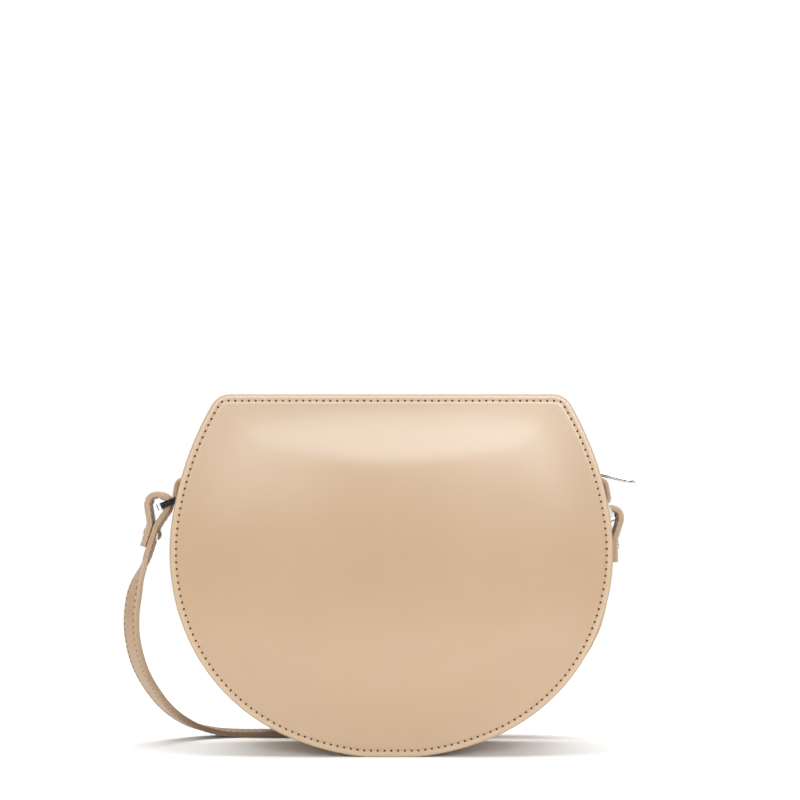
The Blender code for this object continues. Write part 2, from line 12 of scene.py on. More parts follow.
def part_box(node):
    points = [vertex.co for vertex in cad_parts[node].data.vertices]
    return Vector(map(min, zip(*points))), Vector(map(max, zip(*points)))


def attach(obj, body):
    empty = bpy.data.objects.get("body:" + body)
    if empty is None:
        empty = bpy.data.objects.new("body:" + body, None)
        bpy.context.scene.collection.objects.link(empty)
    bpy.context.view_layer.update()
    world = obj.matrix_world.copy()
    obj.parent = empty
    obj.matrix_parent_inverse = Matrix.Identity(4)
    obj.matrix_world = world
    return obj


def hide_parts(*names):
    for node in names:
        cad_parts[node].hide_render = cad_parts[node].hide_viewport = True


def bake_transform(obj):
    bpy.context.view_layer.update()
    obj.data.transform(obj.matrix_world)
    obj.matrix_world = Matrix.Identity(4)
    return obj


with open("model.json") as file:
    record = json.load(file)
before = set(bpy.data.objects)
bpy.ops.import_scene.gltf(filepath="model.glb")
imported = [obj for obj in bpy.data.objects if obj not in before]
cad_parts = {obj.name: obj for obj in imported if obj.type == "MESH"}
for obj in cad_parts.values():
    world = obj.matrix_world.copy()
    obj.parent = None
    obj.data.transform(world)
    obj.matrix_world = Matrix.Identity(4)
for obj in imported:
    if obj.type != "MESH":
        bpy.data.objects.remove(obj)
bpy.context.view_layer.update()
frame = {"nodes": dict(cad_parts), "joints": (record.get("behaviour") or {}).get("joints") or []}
print("frame loaded")

mm = 0.001

# Outline of the bag
bag = {
    "width": 0.210,
    "height": 0.1717,
    "depth": 0.065,
    "widestShare": 0.565,
    "sideShare": 0.484,
    "shoulderShare": 0.741,
    "corner": 0.0101,
    "bottomPress": 0.0006,
    "shoulderStart": radians(8.2),
    "lowerStart": radians(-20.1),
    "bottomTurn": radians(-65.5),
    "seamRun": 0.01766,
    "wallInset": 0.0042,
    "pointGap": 0.0016,
}
halves = (("front", -1), ("back", 1))
midY = (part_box("front_panel")[0].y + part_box("back_panel")[1].y) / 2
halfWidth = bag["width"] / 2
halfDepth = bag["depth"] / 2
sideRadius = bag["sideShare"] * bag["width"]
shoulderRadius = bag["shoulderShare"] * bag["width"]
widestHeight = bag["widestShare"] * bag["height"]


def unit(angle):
    return Vector((cos(angle), sin(angle)))


leans = Matrix((
    (cos(bag["lowerStart"]), cos(bag["bottomTurn"])),
    (1 + sin(bag["lowerStart"]), 1 + sin(bag["bottomTurn"])),
))
radiusSteps = leans.inverted() @ Vector((
    sideRadius - halfWidth,
    sideRadius - widestHeight - bag["bottomPress"],
))
lowerRadius = sideRadius - radiusSteps.x
bottomRadius = lowerRadius - radiusSteps.y
sideCentre = Vector((halfWidth - sideRadius, widestHeight))
shoulderCentre = sideCentre + (sideRadius - shoulderRadius) * unit(bag["shoulderStart"])
lowerCentre = sideCentre + radiusSteps.x * unit(bag["lowerStart"])
bottomCentre = Vector((0, bottomRadius - bag["bottomPress"]))
wallRadius = shoulderRadius - bag["wallInset"]
seamAngle = bag["shoulderStart"] + bag["seamRun"] / wallRadius


def halfStretches(inset, corner=None):
    # The right half from bottom to top: straight, four arcs up to the seam, then the rest
    corner = corner or max(bag["corner"] - inset, mm)
    reach = shoulderRadius - inset - corner
    rise = asin((bag["height"] - inset - corner - shoulderCentre.y) / reach)
    cornerCentre = shoulderCentre + reach * unit(rise)
    start = acos((bottomCentre.y - inset) / (bottomRadius - inset)) - pi / 2
    shoulder = shoulderRadius - inset
    bottomEnd = bottomCentre + (bottomRadius - inset) * unit(start)
    return (
        (Vector((0, bottomEnd.y)), bottomEnd),
        (bottomCentre, bottomRadius - inset, start, bag["bottomTurn"]),
        (lowerCentre, lowerRadius - inset, bag["bottomTurn"], bag["lowerStart"]),
        (sideCentre, sideRadius - inset, bag["lowerStart"], bag["shoulderStart"]),
        (shoulderCentre, shoulder, bag["shoulderStart"], seamAngle),
        (shoulderCentre, shoulder, seamAngle, rise),
        (cornerCentre, corner, rise, pi / 2),
        (Vector((cornerCentre.x, bag["height"] - inset)), Vector((0, bag["height"] - inset))),
    )


def stretchLength(stretch):
    if len(stretch) == 2:
        return (stretch[1] - stretch[0]).length
    return stretch[1] * abs(stretch[3] - stretch[2])


def stretchPoints(stretch, count):
    if len(stretch) == 2:
        return [stretch[0].lerp(stretch[1], i / count) for i in range(count + 1)]
    centre, radius, begin, end = stretch
    return [centre + radius * unit(begin + (end - begin) * i / count) for i in range(count + 1)]


def rightPath(inset, first=0, last=8, gap=bag["pointGap"], corner=None):
    # Every inset gets the same number of points, so loops can be lofted together
    points = []
    for plain, stretch in list(zip(halfStretches(0), halfStretches(inset, corner)))[first:last]:
        count = max(1, round(stretchLength(plain) / gap))
        points += stretchPoints(stretch, count)[1 if points else 0:]
    return points


def mirrored(points):
    return [Vector((-p.x, p.y)) for p in reversed(points)]


def fullLoop(inset, gap=bag["pointGap"], corner=None):
    right = rightPath(inset, gap=gap, corner=corner)
    return right + mirrored(right)[1:-1]


def lowerPath(inset, gap=bag["pointGap"]):
    right = rightPath(inset, 0, 5, gap)
    return mirrored(right)[:-1] + right


def upperPath(inset, gap=bag["pointGap"]):
    right = rightPath(inset, 5, 8, gap)
    return right + mirrored(right)[1:]


# Shader wiring
class Wire:
    # A node's output that plain arithmetic works on
    def __init__(self, finish, socket):
        self.finish = finish
        self.socket = socket

    def math(self, operation, first, second):
        return self.finish.node("Math", {"operation": operation}, {0: first, 1: second})

    def __add__(self, other):
        return self.math("ADD", self, other)

    def __mul__(self, other):
        return self.math("MULTIPLY", self, other)

    def __sub__(self, other):
        return self.math("SUBTRACT", self, other)

    def __rsub__(self, other):
        return self.math("SUBTRACT", other, self)

    __radd__ = __add__
    __rmul__ = __mul__


class NodeBook:
    # Adds nodes to one tree
    def __init__(self, tree):
        self.tree = tree

    def feed(self, socket, value):
        if isinstance(value, Wire):
            self.tree.links.new(value.socket, socket)
        else:
            socket.default_value = value

    def node(self, kind, settings=None, sockets=None, output=0):
        made = self.tree.nodes.new("ShaderNode" + kind)
        for key, value in (settings or {}).items():
            if key == "stops":
                self.setStops(made.color_ramp, value)
            else:
                setattr(made, key, value)
        for key, value in (sockets or {}).items():
            self.feed(made.inputs[key], value)
        return Wire(self, made.outputs[output])

    def setStops(self, ramp, stops):
        while len(ramp.elements) < len(stops):
            ramp.elements.new(0.5)
        for element, (spot, shade) in zip(ramp.elements, stops):
            element.position = spot
            element.color = (shade, shade, shade, 1)

    def ramp(self, value, *stops):
        return self.node("ValToRGB", {"stops": stops}, {"Fac": value})


class Finish(NodeBook):
    # One material with its Principled shader
    def __init__(self, name, **plain):
        self.material = bpy.data.materials.new(name)
        self.material.use_nodes = True
        super().__init__(self.material.node_tree)
        self.shader = self.tree.nodes["Principled BSDF"]
        for key, value in plain.items():
            self.shader.inputs[key.replace("_", " ")].default_value = value

    def place(self):
        return self.node("TexCoord", output="Object")

    def cloud(self, scale, detail=2.0, at=None):
        spots = {"Vector": at or self.place(), "Scale": scale, "Detail": detail}
        return self.node("TexNoise", {}, spots)

    def bands(self, direction, sockets):
        return self.node("TexWave", {"wave_type": "BANDS", "bands_direction": direction}, sockets)

    def blendColour(self, factor, first, second):
        sockets = {0: factor, 6: first, 7: second}
        return self.node("Mix", {"data_type": "RGBA"}, sockets, 2)

    def mark(self, name):
        return self.node("Attribute", {"attribute_name": name}, output="Fac")

    def paint(self, **sockets):
        for key, value in sockets.items():
            self.feed(self.shader.inputs[key.replace("_", " ")], value)

    def bump(self, height, strength, distance):
        sockets = {"Height": height, "Strength": strength, "Distance": distance}
        self.paint(Normal=self.node("Bump", {}, sockets))


def rgb(red, green, blue):
    return (red, green, blue, 1)


def darkened(colour, share):
    return rgb(*(share * c for c in colour[:3]))


leatherLook = {
    "panel": rgb(0.427, 0.270, 0.153),
    "panelDeep": rgb(0.409, 0.256, 0.143),
    "strap": rgb(0.425, 0.270, 0.152),
    "strapDeep": rgb(0.375, 0.229, 0.126),
    # dark brown painted on the strap near the floor as shade
    "strapPaintedShade": rgb(0.165, 0.094, 0.048),
    "edge": rgb(0.425, 0.290, 0.182),
    "edgeDeep": rgb(0.375, 0.244, 0.150),
    "wear": rgb(0.510, 0.352, 0.226),
    "cloudScale": 16,
    "grainScale": 1300,
    "poreScale": 2600,
    "grainDepth": 0.00002,
    "roughness": 0.40,
    "roughnessSpan": 0.08,
    "gloss": 0.85,
    "glossRoughness": 0.16,
    "glossIor": 1.6,
    "poreShade": 0.16,
    "wearShade": 0.7,
    "wearRoughness": 0.10,
    "wearDulling": 0.2,
    "toneDulling": 0.1,
    "cellHeight": 0.6,
    "poreHeight": 0.7,
    "relief": 0.35,
    # heights above the floor where the painted shade is full and where it ends
    "paintedShadeHeights": (0.005, 0.018),
}


def paintShadeNearFloor(finish, place, colours, share):
    # Painted shade: the colour turns dark brown close to the floor, where the strap lies on it, standing
    # in for the shade there
    scale = 40
    full, none = (height * scale for height in leatherLook["paintedShadeHeights"])
    rise = finish.node("SeparateXYZ", {}, {0: place}, "Z")
    near = finish.ramp(rise * scale, (full, 1.0), (none, 0.0))
    return finish.blendColour(near * share, colours, leatherLook["strapPaintedShade"])


def leatherFinish(name, colour, deep, roughness, grain=1.0, gloss=leatherLook["gloss"], low=0):
    look = leatherLook
    finish = Finish(name, Coat_Roughness=look["glossRoughness"], Coat_IOR=look["glossIor"],
                    Specular_IOR_Level=0.4)
    place = finish.place()
    cloud = finish.cloud(look["cloudScale"], 4.0, place)
    cells = finish.node("TexVoronoi", {"feature": "DISTANCE_TO_EDGE"},
                        {"Vector": place, "Scale": look["grainScale"]})
    pores = finish.cloud(look["poreScale"], 2.0, place)
    worn = finish.mark("wear")
    tone = finish.ramp(cloud, (0.35, 0.0), (0.68, 1.0))
    colours = finish.blendColour(tone, deep, colour)
    colours = finish.blendColour(pores * look["poreShade"], colours, deep)
    colours = finish.blendColour(worn * look["wearShade"], colours, look["wear"])
    # painted shade near the floor, by the share low
    if low:
        colours = paintShadeNearFloor(finish, place, colours, low)
    rough = roughness + look["roughnessSpan"] * (pores - 0.5) + look["wearRoughness"] * worn
    coat = gloss - look["wearDulling"] * worn - look["toneDulling"] * tone
    finish.paint(Base_Color=colours, Roughness=rough, Coat_Weight=coat)
    cells = finish.ramp(cells, (0.0, 0.0), (0.16, 1.0))
    height = cells * look["cellHeight"] + pores * look["poreHeight"]
    finish.bump(height, look["relief"] * grain, look["grainDepth"])
    return finish.material


def fibreFinish(name, dark, light, scale, detail, rough, relief, low=0, **plain):
    # Fine fibres or streaks: rough is (base, span), relief is (strength, depth), low is the share of
    # painted shade near the floor
    finish = Finish(name, **plain)
    place = finish.place()
    fibres = finish.cloud(scale, detail, place)
    colours = finish.blendColour(fibres, dark, light)
    # painted shade near the floor, by the share low
    if low:
        colours = paintShadeNearFloor(finish, place, colours, low)
    finish.paint(Base_Color=colours, Roughness=rough[0] + rough[1] * fibres)
    finish.bump(fibres, *relief)
    return finish.material


# low is the share of painted shade near the floor
def edgeFinish(name, low=0):
    return fibreFinish(name, leatherLook["edgeDeep"], leatherLook["edge"], 340, 3.0, (0.42, 0.15),
                       (0.3, 0.00006), low, Coat_Roughness=0.3, Coat_Weight=0.15)


def threadFinish(name, light, dark):
    # Twisted thread: a fine wave along the object gives the plies
    finish = Finish(name, Sheen_Weight=0.15)
    place = finish.place()
    plies = finish.bands("DIAGONAL", {"Vector": place, "Scale": 2600, "Distortion": 1.5})
    fuzz = finish.cloud(4200, 2.0, place)
    colours = finish.blendColour(plies * 0.6 + fuzz * 0.3, dark, light)
    finish.paint(Base_Color=colours, Roughness=0.62 + 0.2 * fuzz)
    finish.bump(plies, 0.5, 0.00008)
    return finish.material


def clothFinish(name, light, dark, pitch, herringbone=False):
    # Plain weave from two crossed waves, or a herringbone from a bent one
    finish = Finish(name, Sheen_Weight=0.3, Specular_IOR_Level=0.3)
    place = finish.place()
    bend = 6.0 if herringbone else 0.6
    waves = {"Vector": place, "Scale": pitch, "Distortion": bend, "Detail": 1.0}
    slubs = finish.cloud(160, 3.0, place)
    weave = finish.node("Math", {"operation": "MAXIMUM"}, {0: finish.bands("X", waves),
                                                             1: finish.bands("Z", waves)})
    colours = finish.blendColour(weave * 0.6 + slubs * 0.35, dark, light)
    finish.paint(Base_Color=colours, Roughness=0.75 + 0.18 * slubs)
    finish.bump(weave, 0.5, 0.0001)
    return finish.material


def metalFinish(name, colour, roughness):
    # Polished nickel with faint smudges
    finish = Finish(name, Metallic=1.0)
    smudge = finish.cloud(110, 1.0)
    dull = finish.ramp(smudge, (0.45, 0.0), (0.75, 1.0))
    colours = finish.blendColour(dull * 0.5, colour, darkened(colour, 0.86))
    finish.paint(Base_Color=colours, Roughness=roughness * (0.9 + 0.7 * dull))
    finish.bump(smudge, 0.02, 0.00001)
    return finish.material


look = leatherLook
panelLeather = leatherFinish("panelLeather", look["panel"], look["panelDeep"], look["roughness"])
gussetLeather = leatherFinish("gussetLeather", look["panel"], look["panelDeep"], 0.46, 1.6, 0.4)
# The strap's leather is painted darker near the floor as shade
strapLeather = leatherFinish("strapLeather", look["strap"], look["strapDeep"], 0.55, 1.8, 0.2, 0.75)
edgePaint = edgeFinish("edgePaint")
# The strap's edge paint is painted darker near the floor as shade
strapEdge = edgeFinish("strapEdge", 0.85)
thread = threadFinish("waxedThread", rgb(0.58, 0.42, 0.28), rgb(0.44, 0.30, 0.18))
# Painted shade: the needle holes are not cut but drawn as small near-black brown patches
paintedHoleShade = fibreFinish("paintedHoleShade", rgb(0.050, 0.022, 0.008), rgb(0.115, 0.055, 0.020), 3000, 2.0,
                         (0.85, 0.1), (0.4, 0.00005), Specular_IOR_Level=0.05)
lining = clothFinish("liningCotton", rgb(0.50, 0.40, 0.30), rgb(0.33, 0.25, 0.18), 1500)
zipTape = clothFinish("zipTapeWeave", rgb(0.56, 0.37, 0.23), rgb(0.36, 0.22, 0.13), 2200, True)
board = fibreFinish("stiffenerBoard", rgb(0.26, 0.20, 0.14), rgb(0.46, 0.38, 0.29), 420, 6.0,
                    (0.8, 0.15), (0.4, 0.0001))
nickel = metalFinish("polishedNickel", rgb(0.70, 0.685, 0.66), 0.045)
pullerNickel = metalFinish("satinNickel", rgb(0.64, 0.62, 0.58), 0.13)
zipMetal = metalFinish("zipNickel", rgb(0.68, 0.66, 0.62), 0.16)
print("finishes made")


# Mesh making
class Pile:
    # Collects points and faces of one piece, each face with its finish's number
    def __init__(self):
        self.points = []
        self.faces = []
        self.slots = []
        self.wear = []

    def rows(self, rows, ring=False, slotOf=None, wearOf=None, cap=False):
        first = len(self.points)
        count = len(rows[0])
        for r, row in enumerate(rows):
            self.points += [tuple(p) for p in row]
            self.wear += [wearOf(r, c) if wearOf else 0.0 for c in range(count)]
        span = count if ring else count - 1
        for r in range(len(rows) - 1):
            for c in range(span):
                d = (c + 1) % count
                low = first + r * count
                self.faces.append((low + c, low + d, low + count + d, low + count + c))
                self.slots.append(slotOf(r, c) if slotOf else 0)
        if cap:
            last = first + (len(rows) - 1) * count
            self.faces.append(tuple(range(first, first + count)))
            self.faces.append(tuple(range(last, last + count)))
            self.slots += [slotOf(0, 0) if slotOf else 0] * 2

    def lens(self, centre, along, up, slot, sides=10):
        # A flat double cone with its rim raised, in a dark colour: painted shade for the mouth of a
        # needle hole
        length, width, height = stitch["holeLength"], stitch["holeWidth"], stitch["holeRise"]
        across = along.cross(up)
        ring = []
        for i in range(sides):
            turn = 2 * pi * i / sides
            ring.append(centre + up * height + along * length * cos(turn) + across * width * sin(turn))
        first = len(self.points)
        peak = 1.2 * height
        self.points += [tuple(p) for p in (centre + up * peak, centre - up * height, *ring)]
        self.wear += [0.0] * (sides + 2)
        for i in range(sides):
            a = first + 2 + i
            b = first + 2 + (i + 1) % sides
            self.faces += [(first, a, b), (first + 1, b, a)]
            self.slots += [slot, slot]

    def make(self, name, finishes, sharp=38, weld=False):
        mesh = bpy.data.meshes.new(name)
        mesh.from_pydata(self.points, [], self.faces)
        for finish in finishes:
            mesh.materials.append(finish)
        mesh.polygons.foreach_set("material_index", self.slots)
        mesh.polygons.foreach_set("use_smooth", [True] * len(self.faces))
        worn = mesh.attributes.new("wear", "FLOAT", "POINT")
        worn.data.foreach_set("value", self.wear)
        tidy = bmesh.new()
        tidy.from_mesh(mesh)
        if weld:
            bmesh.ops.remove_doubles(tidy, verts=tidy.verts, dist=mm / 1000)
        bmesh.ops.recalc_face_normals(tidy, faces=tidy.faces)
        tidy.to_mesh(mesh)
        tidy.free()
        mesh.set_sharp_from_angle(angle=radians(sharp))
        piece = bpy.data.objects.new(name, mesh)
        bpy.context.scene.collection.objects.link(piece)
        return piece


def solid(name, finishes, rows, sharp=38, weld=False, **kinds):
    # A piece of one run of closed rows
    pile = Pile()
    pile.rows(rows, ring=True, **kinds)
    return pile.make(name, finishes, sharp, weld)


def settle(piece, slot, *nodes, body="bag"):
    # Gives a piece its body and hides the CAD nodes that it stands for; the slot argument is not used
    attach(piece, body)
    if nodes:
        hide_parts(*nodes)


def softStep(low, high, value):
    t = min(1.0, max(0.0, (value - low) / (high - low)))
    return t * t * (3 - 2 * t)


def tube(pile, path, radius, slot, sides=6):
    # A round strand along a short path, its ends closed and thinner
    oblique = Vector((0.31, 0.17, 0.94))
    thinned = 0.55
    rows = []
    for i, point in enumerate(path):
        ahead = (path[min(i + 1, len(path) - 1)] - path[max(i - 1, 0)]).normalized()
        side = ahead.cross(oblique).normalized()
        lift = ahead.cross(side)
        size = radius * (thinned if i in (0, len(path) - 1) else 1)
        ring = [2 * pi * k / sides for k in range(sides)]
        rows.append([point + size * (side * cos(a) + lift * sin(a)) for a in ring])
    pile.rows(rows, ring=True, slotOf=lambda r, c: slot, cap=True)


stitch = {
    "pitch": 0.0032,
    "threadRadius": 0.00030,
    "holeLength": 0.00064,
    "holeWidth": 0.00054,
    "holeRise": 0.00013,
    "dip": 0.00030,
    "crest": 0.00006,
    "stations": (0.12, 0.20, 0.33, 0.67, 0.80, 0.88),
    "corner": 0.0030,
    "slant": 0.35,
}


def addStitches(pile, spots, threadSlot, holeSlot=None, sides=6):
    # spots: (point, along, up) at each needle hole, a pitch apart
    heights = (-stitch["dip"], 0.0, stitch["crest"], stitch["crest"], 0.0, -stitch["dip"])
    for (start, along, up), (end, _, upNext) in zip(spots, spots[1:]):
        path = []
        for share, height in zip(stitch["stations"], heights):
            path.append(start.lerp(end, share) + up.lerp(upNext, share) * height)
        tube(pile, path, stitch["threadRadius"], threadSlot, sides)
    if holeSlot is None:
        return
    # a patch of painted hole shade at each needle hole
    for point, along, up in spots:
        lean = (along + stitch["slant"] * along.cross(up)).normalized()
        pile.lens(point, lean, up, holeSlot)


def walk(points, pitch, closed=False, margins=(0.0, 0.0)):
    # Points a pitch apart along a polyline, with the direction there
    line = points + [points[0]] if closed else points
    lengths = [0.0]
    for a, b in zip(line, line[1:]):
        lengths.append(lengths[-1] + (b - a).length)
    total = lengths[-1] - sum(margins)
    count = max(1, round(total / pitch))
    spots = []
    index = 0
    for k in range(count + 1):
        at = min(margins[0] + total * k / count, lengths[-1] - 1e-9)
        while lengths[index + 1] < at:
            index += 1
        step = line[index + 1] - line[index]
        share = (at - lengths[index]) / max(step.length, 1e-9)
        spots.append((line[index] + step * share, step.normalized()))
    return spots


# Front and back panels
panel = {
    "thickness": 0.0020,
    "crown": 0.0021,
    "crownCentre": (0.0, 0.082),
    "crownReach": (0.112, 0.100),
    "crownFrom": 0.0035,
    "crownFull": 0.034,
    "ripple": 0.00022,
    "rippleScale": 17,
    "grooveInset": 0.0031,
    "grooveDepth": 0.00011,
    "scaleRows": 22,
    "loftInset": 0.0066,
    "crownedTo": 0.0010,
}
# Section at the edge as (inset, depth below the face)
edgeProfile = (
    (0.0058, 0.0), (0.0050, 0.0), (0.0043, 0.0), (0.0038, 0.00002), (0.0034, 0.00007),
    (0.0031, 0.00011), (0.0028, 0.00007), (0.0024, 0.0), (0.0018, -0.00003),
    (0.0011, 0.0), (0.0006, 0.00006), (0.00028, 0.00018), (0.0001, 0.00036),
    (0.00002, 0.0006), (0.0, 0.00085), (0.00006, 0.0010), (0.0, 0.00115),
    (0.00002, 0.0014), (0.0001, 0.00164), (0.00028, 0.00182), (0.0006, 0.00194),
    (0.0012, 0.0020), (0.0066, 0.0020),
)
firstEdgeRow = 10
lastEdgeRow = 20


def crownAt(x, z, depth):
    # How far the leather stands proud: a soft dome that dies out at the stitches
    across = (x - panel["crownCentre"][0]) / panel["crownReach"][0]
    rise = (z - panel["crownCentre"][1]) / panel["crownReach"][1]
    dome = panel["crown"] * (1 - across * across - rise * rise)
    spot = Vector((x * panel["rippleScale"], z * panel["rippleScale"], 3.7))
    dome += panel["ripple"] * noise.noise(spot)
    return dome * softStep(panel["crownFrom"], panel["crownFull"], depth)


def discRows(outer, shares, depthAt):
    # Rings from the panel's middle to an outline; depthAt(spot, share, point on it) gives y
    centre = Vector(panel["crownCentre"])
    rows = []
    for share in shares:
        spots = [(centre.lerp(p, share), p) for p in outer]
        rows.append([(spot.x, depthAt(spot, share, p), spot.y) for spot, p in spots])
    return rows


def makePanel(label, facing):
    face = midY + facing * halfDepth
    backY = face - facing * panel["thickness"]
    outer = fullLoop(panel["loftInset"])
    steps = panel["scaleRows"]

    def crowned(spot, share, p):
        depth = panel["loftInset"] + (p - spot).length
        return face + facing * crownAt(spot.x, spot.y, depth)

    rows = discRows(outer, [step / steps for step in range(steps)], crowned)
    low = len(rows) + firstEdgeRow
    high = len(rows) + lastEdgeRow
    for inset, depth in edgeProfile:
        row = []
        for p in fullLoop(inset):
            proud = crownAt(p.x, p.y, inset) if depth < panel["crownedTo"] else 0.0
            row.append((p.x, face + facing * (proud - depth), p.y))
        rows.append(row)
    rows += discRows(outer, (0.75, 0.5, 0.25, 0.0), lambda spot, share, p: backY)

    def slotOf(r, c):
        return 1 if low <= r < high else 0

    def wearOf(r, c):
        return 1.0 if low - 1 <= r <= high else 0.95 * softStep(low - 6, low - 4, r)

    name = f"{label}_leather"
    piece = solid(name, [panelLeather, edgePaint], rows, 60, True, slotOf=slotOf, wearOf=wearOf)
    settle(piece, "shell_leather", f"{label}_panel")
    # saddle stitches round the edge
    up = Vector((0, facing, 0))
    groove = fullLoop(panel["grooveInset"], corner=stitch["corner"])
    line = [Vector((p.x, 0, p.y)) for p in groove]
    spots = []
    for point, along in walk(line, stitch["pitch"], closed=True):
        proud = crownAt(point.x, point.z, panel["grooveInset"]) - panel["grooveDepth"]
        spots.append((Vector((point.x, face + facing * proud, point.z)), along, up))
    pile = Pile()
    addStitches(pile, spots, 0, 1)
    settle(pile.make(name + "_stitching", [thread, paintedHoleShade]), "shell_leather")


for label, facing in halves:
    makePanel(label, facing)
print("panels made")


# Gusset: a channel round the bottom and sides, two halves over the top
gusset = {
    "thickness": 0.0015,
    "weltOuter": 0.03047,
    "weltInner": 0.0287,
    "inset": 0.0042,
    "fillet": 0.0026,
    "sag": 0.00045,
    "ripple": 0.00022,
    "rippleScale": 55,
    "openingHalf": 0.0065,
    "zipStitchFromEdge": 0.0024,
    "pathGap": 0.0026,
    "wallSlack": 0.0002,
    "seamMargin": 0.004,
    "threadSunk": 0.00008,
    "endSeamRise": 0.0026,
    "endSeam": (0.0100, 0.0262),
}


def weltSection():
    # Half of the channel's outer face as (y, inset): round welt edge, then a fillet to the wall
    outer, inner = gusset["weltOuter"], gusset["weltInner"]
    middle = (outer + inner) / 2
    bend = gusset["fillet"]
    section = [(outer, 0.0040), (outer, 0.0010), (outer - 0.00015, 0.00030),
               (middle + 0.00035, 0.00004), (middle, 0.0), (middle - 0.00035, 0.00004),
               (inner + 0.00015, 0.00030), (inner, 0.0009)]
    for step in range(7):
        turn = pi / 2 * step / 6
        section.append((inner - bend * (1 - cos(turn)), gusset["inset"] - bend * (1 - sin(turn))))
    return section


def wallDip(x, z, y):
    # Slight sag of the wall between the welts, with soft waves
    span = max(0.0, 1 - (y / (gusset["weltInner"] - gusset["fillet"])) ** 2)
    spot = Vector((x, y, z)) * gusset["rippleScale"]
    return span * (gusset["sag"] + gusset["ripple"] * noise.noise(spot))


def channelRows(pathOf, outerSection, innerSection):
    # One closed ring at each station of the path; sections are (y, inset) lists
    ringSection = outerSection + innerSection
    paths = {}
    for y, inset in ringSection:
        if inset not in paths:
            paths[inset] = pathOf(inset, gusset["pathGap"])
    deeper = pathOf(gusset["inset"] + mm, gusset["pathGap"])
    wall = pathOf(gusset["inset"], gusset["pathGap"])
    rows = []
    for station in range(len(wall)):
        inward = (deeper[station] - wall[station]).normalized()
        row = []
        for y, inset in ringSection:
            point = paths[inset][station]
            if inset >= gusset["inset"] - gusset["wallSlack"]:
                point = point + inward * wallDip(point.x, point.y, y)
            row.append((point.x, midY + y, point.y))
        rows.append(row)
    return rows


welt = weltSection()
wallYs = [0.0240, 0.0190, 0.0140, 0.0090, 0.0045, 0.0]
wallHalf = [(y, gusset["inset"]) for y in wallYs]
outerHalf = welt + wallHalf
outerFull = outerHalf + [(-y, inset) for y, inset in reversed(outerHalf[:-1])]
innerInset = gusset["inset"] + gusset["thickness"]
innerHalf = [(0.0140, innerInset), (0.0284, innerInset), (0.0302, 0.0058)]
innerFull = [(-y, inset) for y, inset in reversed(innerHalf)] + innerHalf
weltTop = (3, 4, 5)
otherWeltTop = len(outerFull) - 5, len(outerFull) - 4
channel = solid("gusset_leather", [gussetLeather], channelRows(lowerPath, outerFull, innerFull), 55,
                cap=True, wearOf=lambda r, c: 0.8 if c in weltTop + otherWeltTop else 0.0)
settle(channel, "shell_leather", "main_gusset", "welt_front", "welt_back")

insideSpot = Vector((0, 0, 0.08))


def outwardAt(point, along):
    # Square to the path and to the bag's depth, away from the bag's inside
    up = along.cross(Vector((0, 1, 0)))
    return up if up.dot(point - insideSpot) > 0 else -up


openEdge = gusset["openingHalf"]
zipWallYs = [0.0240, 0.0190, 0.0140, 0.0110]
zipOuter = welt + [(y, gusset["inset"]) for y in zipWallYs]
zipOuter += [(0.0096, 0.00425), (0.0089, 0.00432), (0.0082, 0.00425), (0.0073, 0.0042),
             (openEdge + 0.0003, 0.0043), (openEdge, 0.0047), (openEdge, 0.0053)]
zipInner = [(openEdge + 0.0004, innerInset), (0.0150, innerInset)] + innerHalf[1:]
for label, facing in halves:
    outerSide = [(facing * y, inset) for y, inset in zipOuter]
    innerSide = [(facing * y, inset) for y, inset in zipInner]
    pile = Pile()
    pile.rows(channelRows(upperPath, outerSide, innerSide), ring=True, cap=True,
              wearOf=lambda r, c: 0.7 if c in weltTop or c >= len(zipOuter) - 4 else 0.0)
    # stitches along the zip, and across each end beside the tab
    wall = [Vector((p.x, 0, p.y)) for p in upperPath(gusset["inset"])]
    seamY = midY + facing * (openEdge + gusset["zipStitchFromEdge"])
    spots = []
    for point, along in walk(wall, stitch["pitch"], margins=(gusset["seamMargin"],) * 2):
        up = outwardAt(point, along)
        sunk = wallDip(point.x, point.z, seamY - midY) + gusset["threadSunk"]
        spots.append((Vector((point.x, seamY, point.z)) - up * sunk, along, up))
    addStitches(pile, spots, 1, 2)
    for side in (1, -1):
        outward = Vector((side * cos(seamAngle), 0, sin(seamAngle)))
        rise = Vector((-side * sin(seamAngle), 0, cos(seamAngle)))
        corner = shoulderCentre + wallRadius * unit(seamAngle)
        base = Vector((side * corner.x, midY, corner.y)) + rise * gusset["endSeamRise"]
        ends = [base + Vector((0, facing * y, 0)) for y in gusset["endSeam"]]
        spots = []
        for point, along in walk(ends, stitch["pitch"]):
            sunk = wallDip(point.x, point.z, point.y - midY) + gusset["threadSunk"]
            spots.append((point - outward * sunk, along, outward))
        addStitches(pile, spots, 1, 2)
    half = pile.make(f"zip_gusset_leather_{label}", [gussetLeather, thread, paintedHoleShade], sharp=55)
    settle(half, "shell_leather", f"zip_gusset_{label}")
print("gusset made")


# Zip: woven tapes, metal teeth, slider
zipParts = {
    "tapeInset": 0.0060,
    "tapeThickness": 0.0006,
    "tapeInnerY": 0.0016,
    "tapeOuterY": 0.0150,
    "toothPitch": 0.0028,
    "toothTop": 0.0050,
    "toothLow": 0.0076,
    "toothWidth": 0.0013,
    "toothRoot": 0.0036,
    "toothTip": -0.0008,
    "endRun": 0.0042,
    "bead": 0.00025,
    "tapeGap": 0.0024,
}


